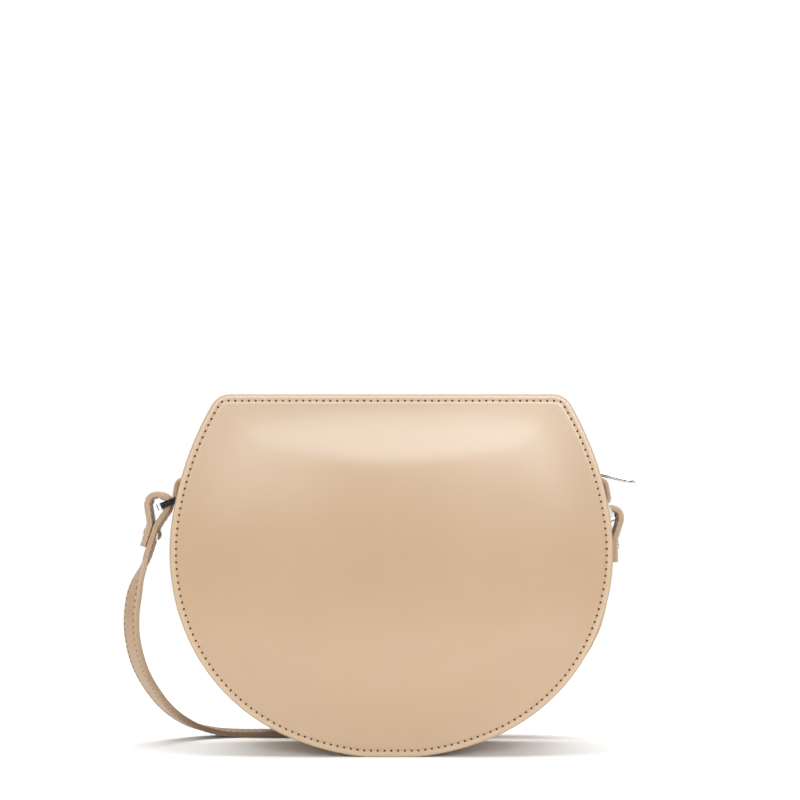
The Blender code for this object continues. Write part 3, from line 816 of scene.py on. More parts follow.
def makeTape(label, facing):
    low, high = zipParts["tapeInset"], zipParts["tapeInset"] + zipParts["tapeThickness"]
    inner, outer = zipParts["tapeInnerY"], zipParts["tapeOuterY"]
    bead = zipParts["bead"]
    section = [(outer, low), (0.0100, low), (0.0062, low), (0.0034, low), (0.0029, low - bead),
               (0.0021, low - bead), (inner, low), (inner, high), (0.0021, high + bead),
               (0.0029, high + bead), (0.0034, high), (outer, high)]
    paths = [upperPath(inset, zipParts["tapeGap"]) for y, inset in section]
    ys = [midY + facing * y for y, inset in section]
    rows = [[(p.x, y, p.y) for y, p in zip(ys, spots)] for spots in zip(*paths)]
    piece = solid(f"zip_tape_weave_{label}", [zipTape], rows, cap=True)
    settle(piece, "zip_tape", f"zip_tape_{label}")


def makeTeeth(label, facing):
    # Each tooth clasps the tape's bead and narrows to a head that reaches past the middle
    inset = (zipParts["toothTop"] + zipParts["toothLow"]) / 2
    line = [Vector((p.x, 0, p.y)) for p in upperPath(inset)]
    half = (zipParts["toothLow"] - zipParts["toothTop"]) / 2
    width = zipParts["toothWidth"] / 2
    root, tip = zipParts["toothRoot"], zipParts["toothTip"]
    # (y, half width, half height) from the root to the head
    sections = ((root, 0.75, 0.62), (root - 0.0003, 1.0, 0.85), (0.0026, 1.0, 1.0),
                (0.0016, 1.0, 1.0), (0.0010, 0.62, 0.86), (0.0004, 0.60, 0.84),
                (0.0, 0.86, 0.92), (tip + 0.0003, 0.86, 0.86), (tip, 0.5, 0.6))
    octagon = ((0.7, 1), (1, 0.7), (1, -0.7), (0.7, -1), (-0.7, -1), (-1, -0.7), (-1, 0.7), (-0.7, 1))
    shift = 0.0 if facing < 0 else zipParts["toothPitch"] / 2
    pile = Pile()
    spots = walk(line, zipParts["toothPitch"], margins=(zipParts["endRun"],) * 2)
    for point, along in spots[:-1]:
        up = outwardAt(point, along)
        centre = point + along * shift
        rows = []
        for y, wide, high in sections:
            a, b = along * width * wide, up * half * high
            middle = Vector((centre.x, midY + facing * y, centre.z))
            rows.append([middle + a * u + b * v for u, v in octagon])
        pile.rows(rows, ring=True, cap=True)
    teeth = pile.make(f"zip_metal_teeth_{label}", [zipMetal], sharp=30)
    settle(teeth, "polished_metal", f"zip_teeth_{label}")


for label, facing in halves:
    makeTape(label, facing)
    makeTeeth(label, facing)


def dress(node, finish, width):
    # A CAD node whose shape is right keeps it, with its edges rounded
    piece = frame["nodes"][node]
    piece.data.materials.clear()
    piece.data.materials.append(finish)
    rounding = piece.modifiers.new("rounding", "BEVEL")
    rounding.width = width
    rounding.segments = 3
    rounding.limit_method = "ANGLE"
    rounding.angle_limit = radians(30)
    rounding.harden_normals = True
    piece.data.polygons.foreach_set("use_smooth", [True] * len(piece.data.polygons))
    piece.data.set_sharp_from_angle(angle=radians(40))


slider = {
    "angle": radians(17.74),
    "plateTop": 0.0039,
    "plate": 0.0010,
    "lowerTop": 0.0077,
    "bailHalf": 0.0031,
    "bailRise": 0.00394,
    "bailWall": 0.0009,
    "bailWidth": 0.0016,
    "round": 0.00028,
    "rimSpan": (0.0046, 0.00548),
    "rimWall": 0.0006,
}
# Plan of the slider's plates as (along the zip, across it)
sliderPlan = ((-0.00425, 0.0022), (-0.0037, 0.0036), (-0.0026, 0.0042), (-0.0004, 0.0042),
              (0.0014, 0.0037), (0.0030, 0.0033), (0.0039, 0.0029), (0.00425, 0.0020))


def sliderSpot(along, across, inset):
    angle = slider["angle"]
    out = Vector((cos(angle), 0, sin(angle)))
    tangent = Vector((-sin(angle), 0, cos(angle)))
    centre = Vector((shoulderCentre.x, midY, shoulderCentre.y))
    return centre + out * (shoulderRadius - inset) + tangent * along + Vector((0, across, 0))


def planPlate(pile, plan, top, low, shrink=0.86):
    ring = list(plan) + [(a, -c) for a, c in reversed(plan)]
    edge = slider["round"]
    rows = []
    for inset, size in ((top, shrink), (top + edge * 0.4, 0.95), (top + edge, 1.0),
                        (low - edge, 1.0), (low - edge * 0.4, 0.95), (low, shrink)):
        rows.append([sliderSpot(a * size, c * size, inset) for a, c in ring])
    pile.rows(rows, ring=True, cap=True)


pile = Pile()
for top in (slider["plateTop"], slider["lowerTop"]):
    planPlate(pile, sliderPlan, top, top + slider["plate"])
postPlan = ((-0.0040, 0.0003), (-0.0030, 0.0009), (-0.0018, 0.0003))
planPlate(pile, postPlan, slider["plateTop"] + 0.0006, slider["lowerTop"] + 0.0004, 1.0)
rimTop, rimLow = slider["rimSpan"]
for sign in (1, -1):
    rimRows = []
    for a, c in sliderPlan[1:7]:
        outer, inward = c * sign, c * sign - sign * slider["rimWall"]
        rimRows.append([sliderSpot(a, outer, rimTop), sliderSpot(a, outer, rimLow),
                        sliderSpot(a, inward, rimLow), sliderSpot(a, inward, rimTop)])
    pile.rows(rimRows, ring=True, cap=True)
# The bail's outer line as (along the zip, above the plate), then its section at each point
half, crownTop, wide = slider["bailHalf"], slider["bailRise"], slider["bailWidth"] / 2
leg = [(-half, -0.0004), (-half, 0.0014), (-half + 0.0005, 0.0027), (-half + 0.0014, crownTop - 0.0002)]
bail = leg + [(0.0, crownTop)] + [(-a, rise) for a, rise in reversed(leg)]
bailSection = ((-wide * 0.7, 0), (wide * 0.7, 0), (wide, 0.25), (wide, 0.75),
               (wide * 0.7, 1), (-wide * 0.7, 1), (-wide, 0.75), (-wide, 0.25))
bailRows = []
for before, (a, rise), after in zip(bail[:1] + bail, bail, bail[1:] + bail[-1:]):
    step = Vector((after[0] - before[0], after[1] - before[1])).normalized()
    inward = Vector((step.y, -step.x)) * slider["bailWall"]
    top = slider["plateTop"] - rise
    bailRows.append([sliderSpot(a + inward.x * depth, across, top - inward.y * depth)
                     for across, depth in bailSection])
pile.rows(bailRows, ring=True, cap=True)
piece = pile.make("zip_slider_metal", [zipMetal], sharp=35)
settle(piece, "polished_metal", "zip_slider", body="slider")

puller = {
    "lean": radians(13.46),
    "half": 0.0010,
    "round": 0.00055,
    "windowRound": 0.00018,
    "tipThinning": 0.35,
    "tipFrom": 0.0165,
}
# Half outline of the tongue as (along, half width) from the bail outwards, and its window
tongue = ((-0.00070, 0.0), (-0.00070, 0.0009), (-0.00055, 0.0019), (-0.0001, 0.0027),
          (0.0006, 0.00315), (0.0016, 0.0033), (0.0032, 0.0033), (0.0050, 0.00325),
          (0.0080, 0.0029), (0.0130, 0.0029), (0.0180, 0.0031), (0.0208, 0.0033),
          (0.0222, 0.0029), (0.0231, 0.0018), (0.0234, 0.0007), (0.0234, 0.0))
window = ((0.0007, 0.0), (0.0007, 0.0005), (0.00072, 0.0008), (0.00085, 0.0010),
          (0.0011, 0.0011), (0.0018, 0.0011), (0.0028, 0.0011), (0.0038, 0.0011),
          (0.0045, 0.0011), (0.0047, 0.00105), (0.00483, 0.00095), (0.00488, 0.0008),
          (0.0049, 0.0006), (0.0049, 0.0004), (0.0049, 0.0002), (0.0049, 0.0))


def insetRing(halfRing, inset):
    # The whole outline moved inwards, each point along its own normal
    ring = [Vector(p) for p in halfRing]
    ring += [Vector((p.x, -p.y)) for p in reversed(ring[1:-1])]
    moved = []
    for before, point, after in zip(ring[-1:] + ring, ring, ring[1:] + ring[:1]):
        step = (after - before).normalized()
        moved.append(point + inset * Vector((step.y, -step.x)))
    return moved


def makePuller():
    pivot = jointPlaces["puller_swing"]
    along = Vector((cos(puller["lean"]), 0, -sin(puller["lean"])))
    up = Vector((sin(puller["lean"]), 0, cos(puller["lean"])))
    half, edge, rim = puller["half"], puller["round"], puller["windowRound"]
    levels = []
    for sign in (1, -1):
        face = [(window, 0.0, half - rim), (window, -rim * 0.3, half - rim * 0.3), (window, -rim, half)]
        for step in range(6):
            turn = pi / 2 * step / 5
            face.append((tongue, edge * (1 - sin(turn)), half - edge * (1 - cos(turn))))
        face = face if sign > 0 else face[::-1]
        levels += [(outline, inset, sign * height) for outline, inset, height in face]
    rows = []
    for outline, inset, height in levels + levels[:1]:
        row = []
        for spot in insetRing(outline, inset):
            thin = 1 - puller["tipThinning"] * softStep(puller["tipFrom"], 0.0234, spot.x)
            row.append(pivot + along * spot.x + Vector((0, spot.y, 0)) + up * height * thin)
        rows.append(row)
    piece = solid("zip_puller_metal", [pullerNickel], rows, 40, True)
    # wide flat faces keep their own shading beside rounded edges
    piece.modifiers.new("evenShading", "WEIGHTED_NORMAL").keep_sharp = True
    settle(piece, "polished_metal", "zip_puller", body="puller")


jointPlaces = {joint["name"]: Vector(joint["pos_m"]) for joint in frame["joints"]}
makePuller()
for node in ("ring_left", "ring_right"):
    dress(node, nickel, 0.00028)
for node in ("top_stop_front", "top_stop_back", "bottom_stop"):
    dress(node, zipMetal, 0.00025)
print("zip made")


# Leather strips: tabs, strap ends, strap runs, folded strap
strip = {
    "corner": 0.00055,
    "gap": 0.0020,
    "stitchIn": 0.0018,
    "groove": 0.00012,
    "grooveHalf": 0.0005,
    "crown": 0.00008,
    "sideCrown": 0.00006,
    "layerLine": (0.00012, 0.00010),
}


def roundedPath(points, radii, step=radians(9)):
    path = [points[0]]
    for before, corner, after, radius in zip(points, points[1:], points[2:], radii):
        back = (before - corner).normalized()
        ahead = (after - corner).normalized()
        half = back.angle(ahead) / 2
        centre = corner + (back + ahead).normalized() * radius / sin(half)
        start = corner + back * radius / (sin(half) / cos(half)) - centre
        sweep = pi - 2 * half
        count = max(2, ceil(sweep / step))
        side = -1 if back.x * ahead.y - back.y * ahead.x > 0 else 1
        for index in range(count + 1):
            point = centre + Matrix.Rotation(side * sweep * index / count, 2) @ start
            if (point - path[-1]).length > 0.00005:
                path.append(point)
    path.append(points[-1])
    return path


def evened(points, gap):
    # The same line with points about a gap apart on its long stretches
    line = [points[0]]
    for a, b in zip(points, points[1:]):
        count = max(1, ceil((b - a).length / gap))
        line += [a.lerp(b, k / count) for k in range(1, count + 1)]
    return line


def stripSection(width, thickness, groove):
    # Closed section as (across, height): softly crowned faces, pressed stitch lines, round edges
    half, high, corner = width / 2, thickness / 2, strip["corner"]
    seam, line = half - strip["stitchIn"], strip["grooveHalf"]
    lineHalf, lineDepth = strip["layerLine"]
    left = [(corner - half, high), (-seam - line, high), (-seam, high - groove), (line - seam, high),
            (-seam * 0.5, high + strip["sideCrown"])]
    face = left + [(0.0, high + strip["crown"])] + [(-u, v) for u, v in reversed(left)]
    brink = [(half - corner * 0.3, high - corner * 0.3), (half, high - corner), (half, lineHalf)]
    edge = brink + [(half - lineDepth, 0.0)] + [(u, -v) for u, v in reversed(brink)]
    ring = face + edge + [(-u, -v) for u, v in face] + [(-u, -v) for u, v in edge]
    return ring, len(face), len(edge)


def stations(path, crosses=None):
    # (point, along, across, up) at each point of a path
    made = []
    last = len(path) - 1
    for i, point in enumerate(path):
        along = (path[min(i + 1, last)] - path[max(i - 1, 0)]).normalized()
        across = crosses[i] if crosses else Vector((0, 1, 0))
        across = (across - across.dot(along) * along).normalized()
        made.append((point, along, across, along.cross(across)))
    return made


def addStrip(pile, spots, size, groove=strip["groove"]):
    # A strip of leather along the spots; size is (width, thickness)
    ring, faceCount, edgeCount = stripSection(*size, groove)
    rows = [[p + across * u + up * v for u, v in ring] for p, along, across, up in spots]
    period = faceCount + edgeCount

    def slotOf(r, c):
        return 1 if faceCount - 1 <= c % period < period else 0

    def wearOf(r, c):
        return 0.9 if c % period in (0, faceCount - 1, faceCount, period - 1) else 0.0

    pile.rows(rows, ring=True, slotOf=slotOf, wearOf=wearOf, cap=True)


def addStripStitches(pile, spots, size, margins=(0.002, 0.002), holes=None):
    # Two rows of stitches on each face
    seam = size[0] / 2 - strip["stitchIn"]
    lift = size[1] / 2 - strip["groove"]
    for face in (1, -1):
        for side in (1, -1):
            line = [p + across * side * seam + up * face * lift for p, _, across, up in spots]
            ups = [up * face for _, _, _, up in spots]
            stitched = []
            index = 0
            for point, along in walk(line, stitch["pitch"], margins=margins):
                while index < len(line) - 2 and (line[index + 1] - point).dot(along) < 0:
                    index += 1
                stitched.append((point, along, ups[index]))
            addStitches(pile, stitched, 2, holes, sides=5)


tab = {
    "width": 0.0150,
    "thickness": 0.0020,
    "seat": 0.0003,
    "barClear": 0.001977,
    "barDrop": 0.0072,
    "bulge": 0.0010,
    "rise": 0.0030,
    "shoulder": 0.0034,
    "threadSunk": 0.00005,
    "seamHalf": 0.0056,
    "seamPitch": 0.0028,
}


def sidePoint(side, spot):
    # A point in the right side's plane, set on either side of the bag
    return Vector((side * spot.x, midY, spot.y))


def makeTab(label, side):
    pivot = jointPlaces[f"ring_{label}_swing"]
    outward = unit(seamAngle)
    downward = Vector((outward.y, -outward.x))
    depth = tab["seat"] + tab["thickness"] + tab["barClear"]
    corner = Vector((side * pivot.x, pivot.z)) - depth * outward - tab["barDrop"] * downward
    half = tab["thickness"] / 2
    near = tab["seat"] + half
    turn = tab["barClear"] + half
    far = near + 2 * turn
    base = tab["barDrop"] + turn
    top = half - tab["rise"]
    places = ((near, top + tab["thickness"] + tab["seat"]), (near, base), (far, base),
              (far + tab["bulge"], top), (tab["seat"], top))
    points = [corner + out * outward + down * downward for out, down in places]
    path = evened(roundedPath(points, (turn, turn, tab["shoulder"])), 0.001)
    spots = stations([sidePoint(side, p) for p in path])
    pile = Pile()
    addStrip(pile, spots, (tab["width"], tab["thickness"]), 0.0)
    # one row of stitches across the outer face, under the bulge
    marks = [p for p in path if (p - corner).dot(outward) > near + turn]
    point, _, across, up = spots[path.index(marks[len(marks) // 2])]
    outwards = Vector((side * outward.x, 0, outward.y))
    up = up if up.dot(outwards) > 0 else -up
    base = point + up * (half - tab["threadSunk"])
    ends = [base - across * tab["seamHalf"], base + across * tab["seamHalf"]]
    addStitches(pile, [(p, a, up) for p, a in walk(ends, tab["seamPitch"])], 2, 3)
    piece = pile.make(f"tab_leather_{label}", [gussetLeather, edgePaint, thread, paintedHoleShade])
    settle(piece, "shell_leather", f"tab_{label}")


makeTab("right", 1)
makeTab("left", -1)

strap = {
    "width": 0.0150,
    "thickness": 0.0027,
    "layer": 0.0030,
    "loopInner": 0.0042,
    "loopOuter": {"left": 0.0060, "right": 0.0044},
    "loopTop": 0.0056,
    "loopTopRadius": 0.0041,
    "loopWaist": 0.0005,
    "loopNeck": 0.0092,
    "neckRadius": 0.0060,
    "waistRadius": 0.0030,
    "cutEnd": 0.0205,
    "runStart": 0.0240,
    "angle": {"left": radians(72), "right": radians(90)},
    "turn": radians(28),
    "turnIn": (0.0, 0.16),
    "turnOut": (0.72, 0.96),
    "lift": 0.0003,
    "laneGap": 0.0110,
    "foldLeft": 0.064,
    "foldRight": 0.050,
    "foldLayers": 5,
    "foldPitch": 0.0060,
    "foldNip": 0.0026,
    "foldClosed": (0.45, 0.86),
    "blendShare": 0.42,
}
# Strap routes as shares of the way out from the folded strap, of the depth and of the height
leftRoute = ((1.752, -0.03, 0.466), (1.842, -0.04, 0.378), (1.825, 0.04, 0.292),
             (1.683, 0.21, 0.200), (1.339, 0.43, 0.105), (0.898, 0.61, 0.045),
             (0.428, 0.73, 0.018))
rightRoute = ((0.989, 0.06, 0.460), (0.958, 0.18, 0.396), (0.905, 0.37, 0.332),
              (0.799, 0.55, 0.268), (0.571, 0.69, 0.210), (0.244, 0.77, 0.172))
laneY = midY + halfDepth + strap["laneGap"] + strap["width"] / 2
floorLayer = strap["thickness"] / 2 + strap["lift"]
strapSize = strap["width"], strap["thickness"]
strapFinishes = [strapLeather, strapEdge, thread, paintedHoleShade]


def endFrame(label, side):
    pivot = jointPlaces[f"strap_{label}_swing"]
    angle = strap["angle"][label]
    along = Vector((cos(angle), -sin(angle)))
    across = Vector((-sin(angle), -cos(angle)))
    return Vector((side * pivot.x, pivot.z)), along, across


def loopPath(label, side):
    # From the cut end up over the ring's bar and down again to the free strap
    pivot, along, across = endFrame(label, side)
    layer = strap["layer"] / 2
    outer = strap["loopOuter"][label]
    places = ((strap["cutEnd"], -layer), (strap["loopNeck"], -layer),
              (strap["loopWaist"], -outer), (-strap["loopTop"], -outer),
              (-strap["loopTop"], strap["loopInner"]), (strap["loopWaist"], strap["loopInner"]),
              (strap["loopNeck"], layer), (strap["runStart"], layer))
    points = [pivot + down * along + over * across for down, over in places]
    top, neck, waist = strap["loopTopRadius"], strap["neckRadius"], strap["waistRadius"]
    path = evened(roundedPath(points, (neck, waist, top, top, waist, neck)), 0.0012)
    return [sidePoint(side, p) for p in path]


def smoothRoute(points, gap):
    knots = [2 * points[0] - points[1], *points, 2 * points[-1] - points[-2]]
    route = []
    for a, b, c, d in zip(knots, knots[1:], knots[2:], knots[3:]):
        count = max(1, ceil((c - b).length / gap))
        for index in range(count):
            t = index / count
            curve = (c - a) / 2 * t + (a - 2.5 * b + 2 * c - d / 2) * t**2
            route.append(b + curve + (1.5 * (b - c) + (d - a) / 2) * t**3)
    route.append(points[-1])
    return route


def makeRun(label, side, shares, foldEnd, height, turnBy):
    loop = loopPath(label, side)
    pivot, along, across = endFrame(label, side)
    nextSpot = pivot + (strap["runStart"] + 0.003) * along + strap["layer"] / 2 * across
    points = [loop[-1], sidePoint(side, nextSpot)]
    laneStart = foldEnd + strap["lift"] + strap["width"]
    way = halfWidth - laneStart
    for x, y, z in shares:
        points.append(Vector((side * (laneStart + x * way), midY + y * bag["depth"], z * bag["height"])))
    points += [Vector((side * x, laneY, height)) for x in (laneStart, foldEnd)]
    route = smoothRoute(points, strip["gap"])
    last = len(route) - 1
    runFrom = len(loop) - 1
    crosses = [Vector((0, 1, 0))] * runFrom
    for index in range(last + 1):
        share = index / last
        turn = turnBy * softStep(*strap["turnIn"], share) * (1 - softStep(*strap["turnOut"], share))
        crosses.append(Vector((sin(turn), cos(turn), 0)))
    split = round(strap["blendShare"] * last) + runFrom
    spots = stations(loop[:-1] + route, crosses)
    ring, end = f"{label}_ring", f"{label}_strap_end"
    for name, part, start, bodies, nodes, margins in (
        (f"strap_loop_leather_{label}", spots[:split + 1], runFrom, (end, ring),
         (f"strap_end_{label}", f"strap_{label}_run"), (0.002, 0.0)),
        (f"strap_run_leather_{label}", spots[split:], 0, (ring, "bag"),
         (f"strap_{label}_run",), (0.0, 0.002)),
    ):
        pile = Pile()
        addStrip(pile, part, strapSize)
        addStripStitches(pile, part, strapSize, margins, holes=3)
        piece = pile.make(name, strapFinishes)
        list(bodies)
        tuple(part[start][0])
        tuple(part[-1][0])
        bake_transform(piece)
        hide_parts(*nodes)


def makeFold():
    # To and fro on the floor; the layers close up between the bends
    bend = strap["foldPitch"] / 2
    places = [Vector((-strap["foldLeft"], floorLayer))]
    radii = []
    for layer in range(strap["foldLayers"] - 1):
        height = floorLayer + layer * strap["foldPitch"]
        turnX = strap["foldRight"] if layer % 2 == 0 else -strap["foldLeft"]
        places += [Vector((turnX, height)), Vector((turnX, height + strap["foldPitch"]))]
        radii += [bend, bend]
    topHeight = floorLayer + (strap["foldLayers"] - 1) * strap["foldPitch"]
    places.append(Vector((strap["foldRight"], topHeight)))
    path = evened(roundedPath(places, radii, radians(12)), strip["gap"] * 1.5)
    middle = (strap["foldRight"] - strap["foldLeft"]) / 2
    reach = (strap["foldRight"] + strap["foldLeft"]) / 2
    closed, apart = (share * reach for share in strap["foldClosed"])
    points = []
    for p in path:
        closeness = 1 - softStep(closed, apart, abs(p.x - middle))
        layers = (p.y - floorLayer) / strap["foldPitch"]
        points.append(Vector((p.x, laneY, p.y - layers * strap["foldNip"] * closeness)))
    spots = stations(points)
    pile = Pile()
    addStrip(pile, spots, strapSize)
    addStripStitches(pile, spots, strapSize)
    settle(pile.make("strap_fold_leather", strapFinishes), "strap_leather", "strap_fold")


topLayer = floorLayer + (strap["foldLayers"] - 1) * strap["foldPitch"]
makeRun("left", -1, leftRoute, strap["foldLeft"], floorLayer, -strap["turn"])
makeRun("right", 1, rightRoute, strap["foldRight"], topLayer, 0)
makeFold()
print("strap made")


# Screw posts
rivet = {
    "drop": 0.0136,
    "headRadius": 0.0035,
    "domeRadius": 0.00275,
    "domeHeight": 0.0020,
    "slotWidth": 0.0007,
    "slotDepth": 0.00045,
    "headHeight": 0.00105,
    "postRadius": 0.0014,
    "play": 0.0001,
    "sides": 40,
}


def turnedRows(profile, centre, axis, sideways):
    third = axis.cross(sideways)
    rows = []
    for radius, height in profile:
        row = []
        for k in range(rivet["sides"]):
            angle = 2 * pi * k / rivet["sides"]
            row.append(centre + axis * height + radius * (sideways * cos(angle) + third * sin(angle)))
        rows.append(row)
    return rows


def makeRivet(label, side):
    pivot, along, across = endFrame(label, side)
    centre = sidePoint(side, pivot + rivet["drop"] * along)
    outwards = -(Vector((side * across.x, 0, across.y)))
    down = Vector((side * along.x, 0, along.y))

    def turned(name, profile):
        rows = turnedRows(profile, centre, outwards, down)
        return solid(f"{name}_{label}", [nickel], rows, 50, True)

    face = (strap["layer"] + strap["thickness"]) / 2 + rivet["play"]
    edge, top, post = rivet["headRadius"], face + rivet["headHeight"], rivet["postRadius"]
    head = turned("screw_head", (
        (0.0, top), (0.0024, top - 0.00003), (edge - 0.0004, face + 0.0009),
        (edge - 0.0001, face + 0.0006), (edge, face + 0.0003), (edge - 0.0001, face),
        (post, face), (post, -face - mm), (0.0, -face - mm)))
    # the screwdriver slot, cut across the head
    slant = (down + Vector((0, 0.8, 0))).normalized()
    third = outwards.cross(slant)
    rows = []
    for height in (face + 0.0016, top - rivet["slotDepth"]):
        corners = ((1, 1), (1, -1), (-1, -1), (-1, 1))
        rows.append([centre + outwards * height + slant * 0.0028 * a
                     + third * rivet["slotWidth"] / 2 * b for a, b in corners])
    cutter = solid("slotCutter", [nickel], rows, cap=True)
    cut = head.modifiers.new("slot", "BOOLEAN")
    cut.operation = "DIFFERENCE"
    cut.solver = "EXACT"
    cut.object = cutter
    bpy.context.view_layer.update()
    baked = bpy.data.meshes.new_from_object(head.evaluated_get(bpy.context.evaluated_depsgraph_get()))
    head.modifiers.clear()
    head.data = baked
    bpy.data.objects.remove(cutter)
    radius, height = rivet["domeRadius"], rivet["domeHeight"]
    turns = [pi / 2 * step / 8 for step in range(9)]
    dome = [(radius * sin(turn), -face - height * cos(turn)) for turn in turns]
    cap = turned("screw_cap", dome + [(radius - 0.0001, -face), (0.0, -face)])
    for piece, node in ((head, f"rivet_post_{label}"), (cap, f"rivet_cap_{label}")):
        settle(piece, "polished_metal", node, body=f"{label}_strap_end")


makeRivet("left", -1)
makeRivet("right", 1)
print("screws made")


# Linings, boards and slip pocket
inner = {
    "thickness": 0.0006,
    "inset": 0.0060,
    "faceY": 0.0287,
    "bandHalf": 0.0277,
    "ripple": 0.00025,
    "rippleScale": 60,
    "boardRipple": 0.00012,
    "boardRippleScale": 90,
    "boardRim": 0.6,
    "rows": 12,
    "gap": 0.004,
    "bandSteps": 10,
    "zipEdge": 0.0152,
    "pocketCorner": 0.010,
    "hemRow": 12,
    "hemPitch": 0.003,
}


def liningWave(x, y, z):
    return inner["ripple"] * noise.noise(Vector((x, y, z)) * inner["rippleScale"])


def makeLiningPanel(label, facing):
    outer = fullLoop(inner["inset"] + 0.0001, inner["gap"])
    shares = [step / inner["rows"] for step in range(inner["rows"] + 1)]
    rows = []
    for depth in (inner["thickness"], 0.0):
        def waved(spot, share, p):
            wave = (1 - share**6) * liningWave(spot.x, facing, spot.y)
            return midY + facing * (inner["faceY"] - depth - abs(wave))

        rows += discRows(outer, shares, waved)
        shares.reverse()
    piece = solid(f"{label}_lining_cloth", [lining], rows, weld=True)
    settle(piece, "lining_cloth", f"{label}_lining")


def makeBoard(label):
    # Bonded board between panel and lining: faces a little uneven, rim thinned
    low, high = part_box(f"{label}_stiffener")
    outer = fullLoop(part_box(f"{label}_panel")[1].x - high.x)
    middle, half = (low.y + high.y) / 2, (high.y - low.y) / 2
    shares = [k / inner["rows"] for k in range(inner["rows"])] + [0.985, 1.0]
    rows = []
    for side in (-1, 1):
        def uneven(spot, share, p):
            depth = half * (inner["boardRim"] if share == 1.0 else 1.0)
            place = Vector((spot.x, side, spot.y)) * inner["boardRippleScale"]
            return middle + side * (depth - inner["boardRipple"] * abs(noise.noise(place)))

        rows += discRows(outer, shares, uneven)
        shares.reverse()
    piece = solid(f"{label}_board", [board], rows, weld=True)
    settle(piece, "stiffener_board", f"{label}_stiffener")


def makeLiningBand(name, node, pathOf, low, high):
    steps = inner["bandSteps"]
    inset = inner["inset"] + 0.0002
    ys = [low + (high - low) * k / steps for k in range(steps + 1)]
    rows = []
    for a, b in zip(pathOf(inset, inner["gap"]), pathOf(inset + inner["thickness"], inner["gap"])):
        inward = (b - a).normalized()
        near = [(a + inward * abs(liningWave(a.x, y, a.y)), y) for y in ys]
        far = [(p + inward * inner["thickness"], y) for p, y in reversed(near)]
        rows.append([(p.x, midY + y, p.y) for p, y in near + far])
    settle(solid(name, [lining], rows, cap=True), "lining_cloth", node)


def makePocket():
    # A patch with a round-cornered bag shape, its mouth hemmed and stitched
    low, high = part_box("slip_pocket")
    wall, corner = inner["thickness"], inner["pocketCorner"]
    columns, levels = 26, 14
    rows = []
    for layer in (0, wall):
        steps = range(levels + 1)
        for step in reversed(steps) if layer else steps:
            share = step / levels
            z = low.z + layer + (high.z - low.z - layer) * share
            drop = max(0.0, corner - (z - low.z))
            pull = corner - sqrt(max(0.0, corner**2 - drop**2))
            reach = (high.x - low.x) / 2 - pull - layer
            bulge = (high.y - low.y) * softStep(0.0, 0.35, share)
            row = []
            for k in range(columns + 1):
                x = -1 + 2 * k / columns
                belly = bulge * (1 - x**8) - layer * (1 if 0 < k < columns else 0)
                row.append((reach * x, high.y - max(belly, 0.0001), z))
            rows.append(row)
    pile = Pile()
    pile.rows(rows)
    line = [Vector(p) for p in rows[inner["hemRow"]]]
    marks = walk(line, inner["hemPitch"], margins=(0.004, 0.004))
    addStitches(pile, [(p, along, Vector((0, -1, 0))) for p, along in marks], 1)
    settle(pile.make("slip_pocket_cloth", [lining, thread]), "lining_cloth", "slip_pocket")


for label, facing in halves:
    makeBoard(label)
    makeLiningPanel(label, facing)
    ends = sorted((facing * inner["zipEdge"], facing * inner["bandHalf"]))
    makeLiningBand(f"zip_lining_cloth_{label}", f"zip_lining_{label}", upperPath, *ends)
makeLiningBand("gusset_lining_cloth", "gusset_lining", lowerPath, -inner["bandHalf"], inner["bandHalf"])
makePocket()
print("linings made")


# Studio
studio = {
    "cameraX": 0.0041,
    "cameraHeight": 0.130,
    "distance": 1.0,
    "sensor": 36,
    "frameWidth": 0.3784,
    "shift": 0.103,
    "floorTone": rgb(0.93, 0.93, 0.925),
    "floorRadius": 0.90,
    "floorHeight": -0.00002,
    "background": 1.0,
    "boxTint": (0.92, 0.985, 1.0),
    "highTint": (0.82, 0.97, 1.06),
    "air": 0.80,
    "sideAir": 0.40,
    "frontAir": 0.03,
}
# Soft boxes: name, place, aim, width, height, power in watts. The large ones in front are cooler
softBoxes = (
    ("overheadBox", (0.0, 0.0, 1.7), (0.0, 0.05, 0.0), 2.2, 1.3, 34),
    ("leftBox", (-0.495, -1.5, 0.62), (-0.38, 0.0, 0.57), 0.71, 0.96, 5.8),
    ("rightBox", (0.47, -1.5, 0.66), (0.36, 0.0, 0.61), 0.76, 0.93, 10.0),
    ("middleBox", (-0.02, -1.5, 0.64), (-0.02, 0.0, 0.60), 0.22, 0.74, 1.3),
    ("highBox", (0.24, -1.5, 0.60), (0.21, 0.0, 0.56), 1.20, 0.66, 7.8),
    ("ringCard", (0.245, -1.5, 0.09), (0.12, 0.0, 0.12), 0.10, 0.05, 0.018),
)


def lookAt(place, aim):
    return (Vector(aim) - Vector(place)).to_track_quat("-Z", "Y").to_euler()


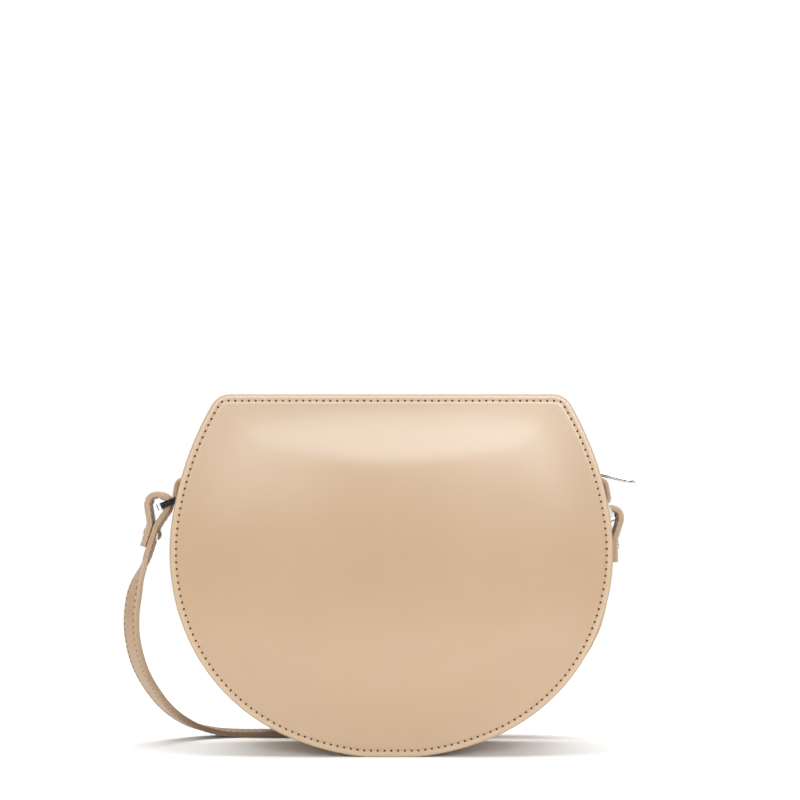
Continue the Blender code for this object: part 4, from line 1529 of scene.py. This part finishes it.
def makeAir():
    # White behind the bag, an even glow round it and a dim room in front of it
    world = bpy.data.worlds.new("studioAir")
    world.use_nodes = True
    book = NodeBook(world.node_tree)
    way = book.node("TexCoord", output="Generated")
    forwards = {0: way, 1: (0.0, -1.0, 0.0)}
    front = book.node("VectorMath", {"operation": "DOT_PRODUCT"}, forwards, "Value")
    stops = (0.42, studio["air"]), (0.64, studio["sideAir"]), (0.88, studio["frontAir"])
    glow = book.ramp(front * 0.5 + 0.5, *stops)
    shown = book.node("LightPath", output="Is Camera Ray")
    strength = glow + shown * (studio["background"] - glow)
    air = world.node_tree.nodes["Background"]
    air.inputs["Color"].default_value = rgb(1.0, 1.0, 1.0)
    book.feed(air.inputs["Strength"], strength)
    return world


def makeFloor():
    turns = [2 * pi * k / 64 for k in range(64)]
    reaches = [share * studio["floorRadius"] for share in (0.0, 0.1, 0.3, 0.6, 1.0)]
    rows = [[(reach * cos(a), midY + reach * sin(a), studio["floorHeight"]) for a in turns]
            for reach in reaches]
    finish = Finish("paleFloor", Roughness=0.9, Specular_IOR_Level=0.2)
    mottle = finish.cloud(3, 2.0)
    pale = darkened(studio["floorTone"], 0.985)
    finish.paint(Base_Color=finish.blendColour(mottle, pale, studio["floorTone"]))
    solid("floor", [finish.material], rows, weld=True)


def makeStudio():
    scene = bpy.context.scene
    camera = bpy.data.cameras.new("camera")
    camera.sensor_width = studio["sensor"]
    camera.lens = camera.sensor_width * studio["distance"] / studio["frameWidth"]
    camera.shift_y = studio["shift"]
    camera.clip_start = 0.01
    camera.clip_end = 50
    holder = bpy.data.objects.new("camera", camera)
    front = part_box("front_panel")[0].y
    holder.location = (studio["cameraX"], front - studio["distance"], studio["cameraHeight"])
    holder.rotation_euler = (pi / 2, 0, 0)
    scene.collection.objects.link(holder)
    scene.camera = holder
    for name, place, aim, width, height, power in softBoxes:
        light = bpy.data.lights.new(name, "AREA")
        light.shape = "RECTANGLE"
        light.size = width
        light.size_y = height
        light.energy = power
        if place[1] < -1 and power > 1:
            light.color = studio["highTint" if name == "highBox" else "boxTint"]
        lamp = bpy.data.objects.new(name, light)
        lamp.location = place
        lamp.rotation_euler = lookAt(place, aim)
        scene.collection.objects.link(lamp)
    makeFloor()
    scene.world = makeAir()
    scene.view_settings.view_transform = "Standard"


makeStudio()
print("studio made")
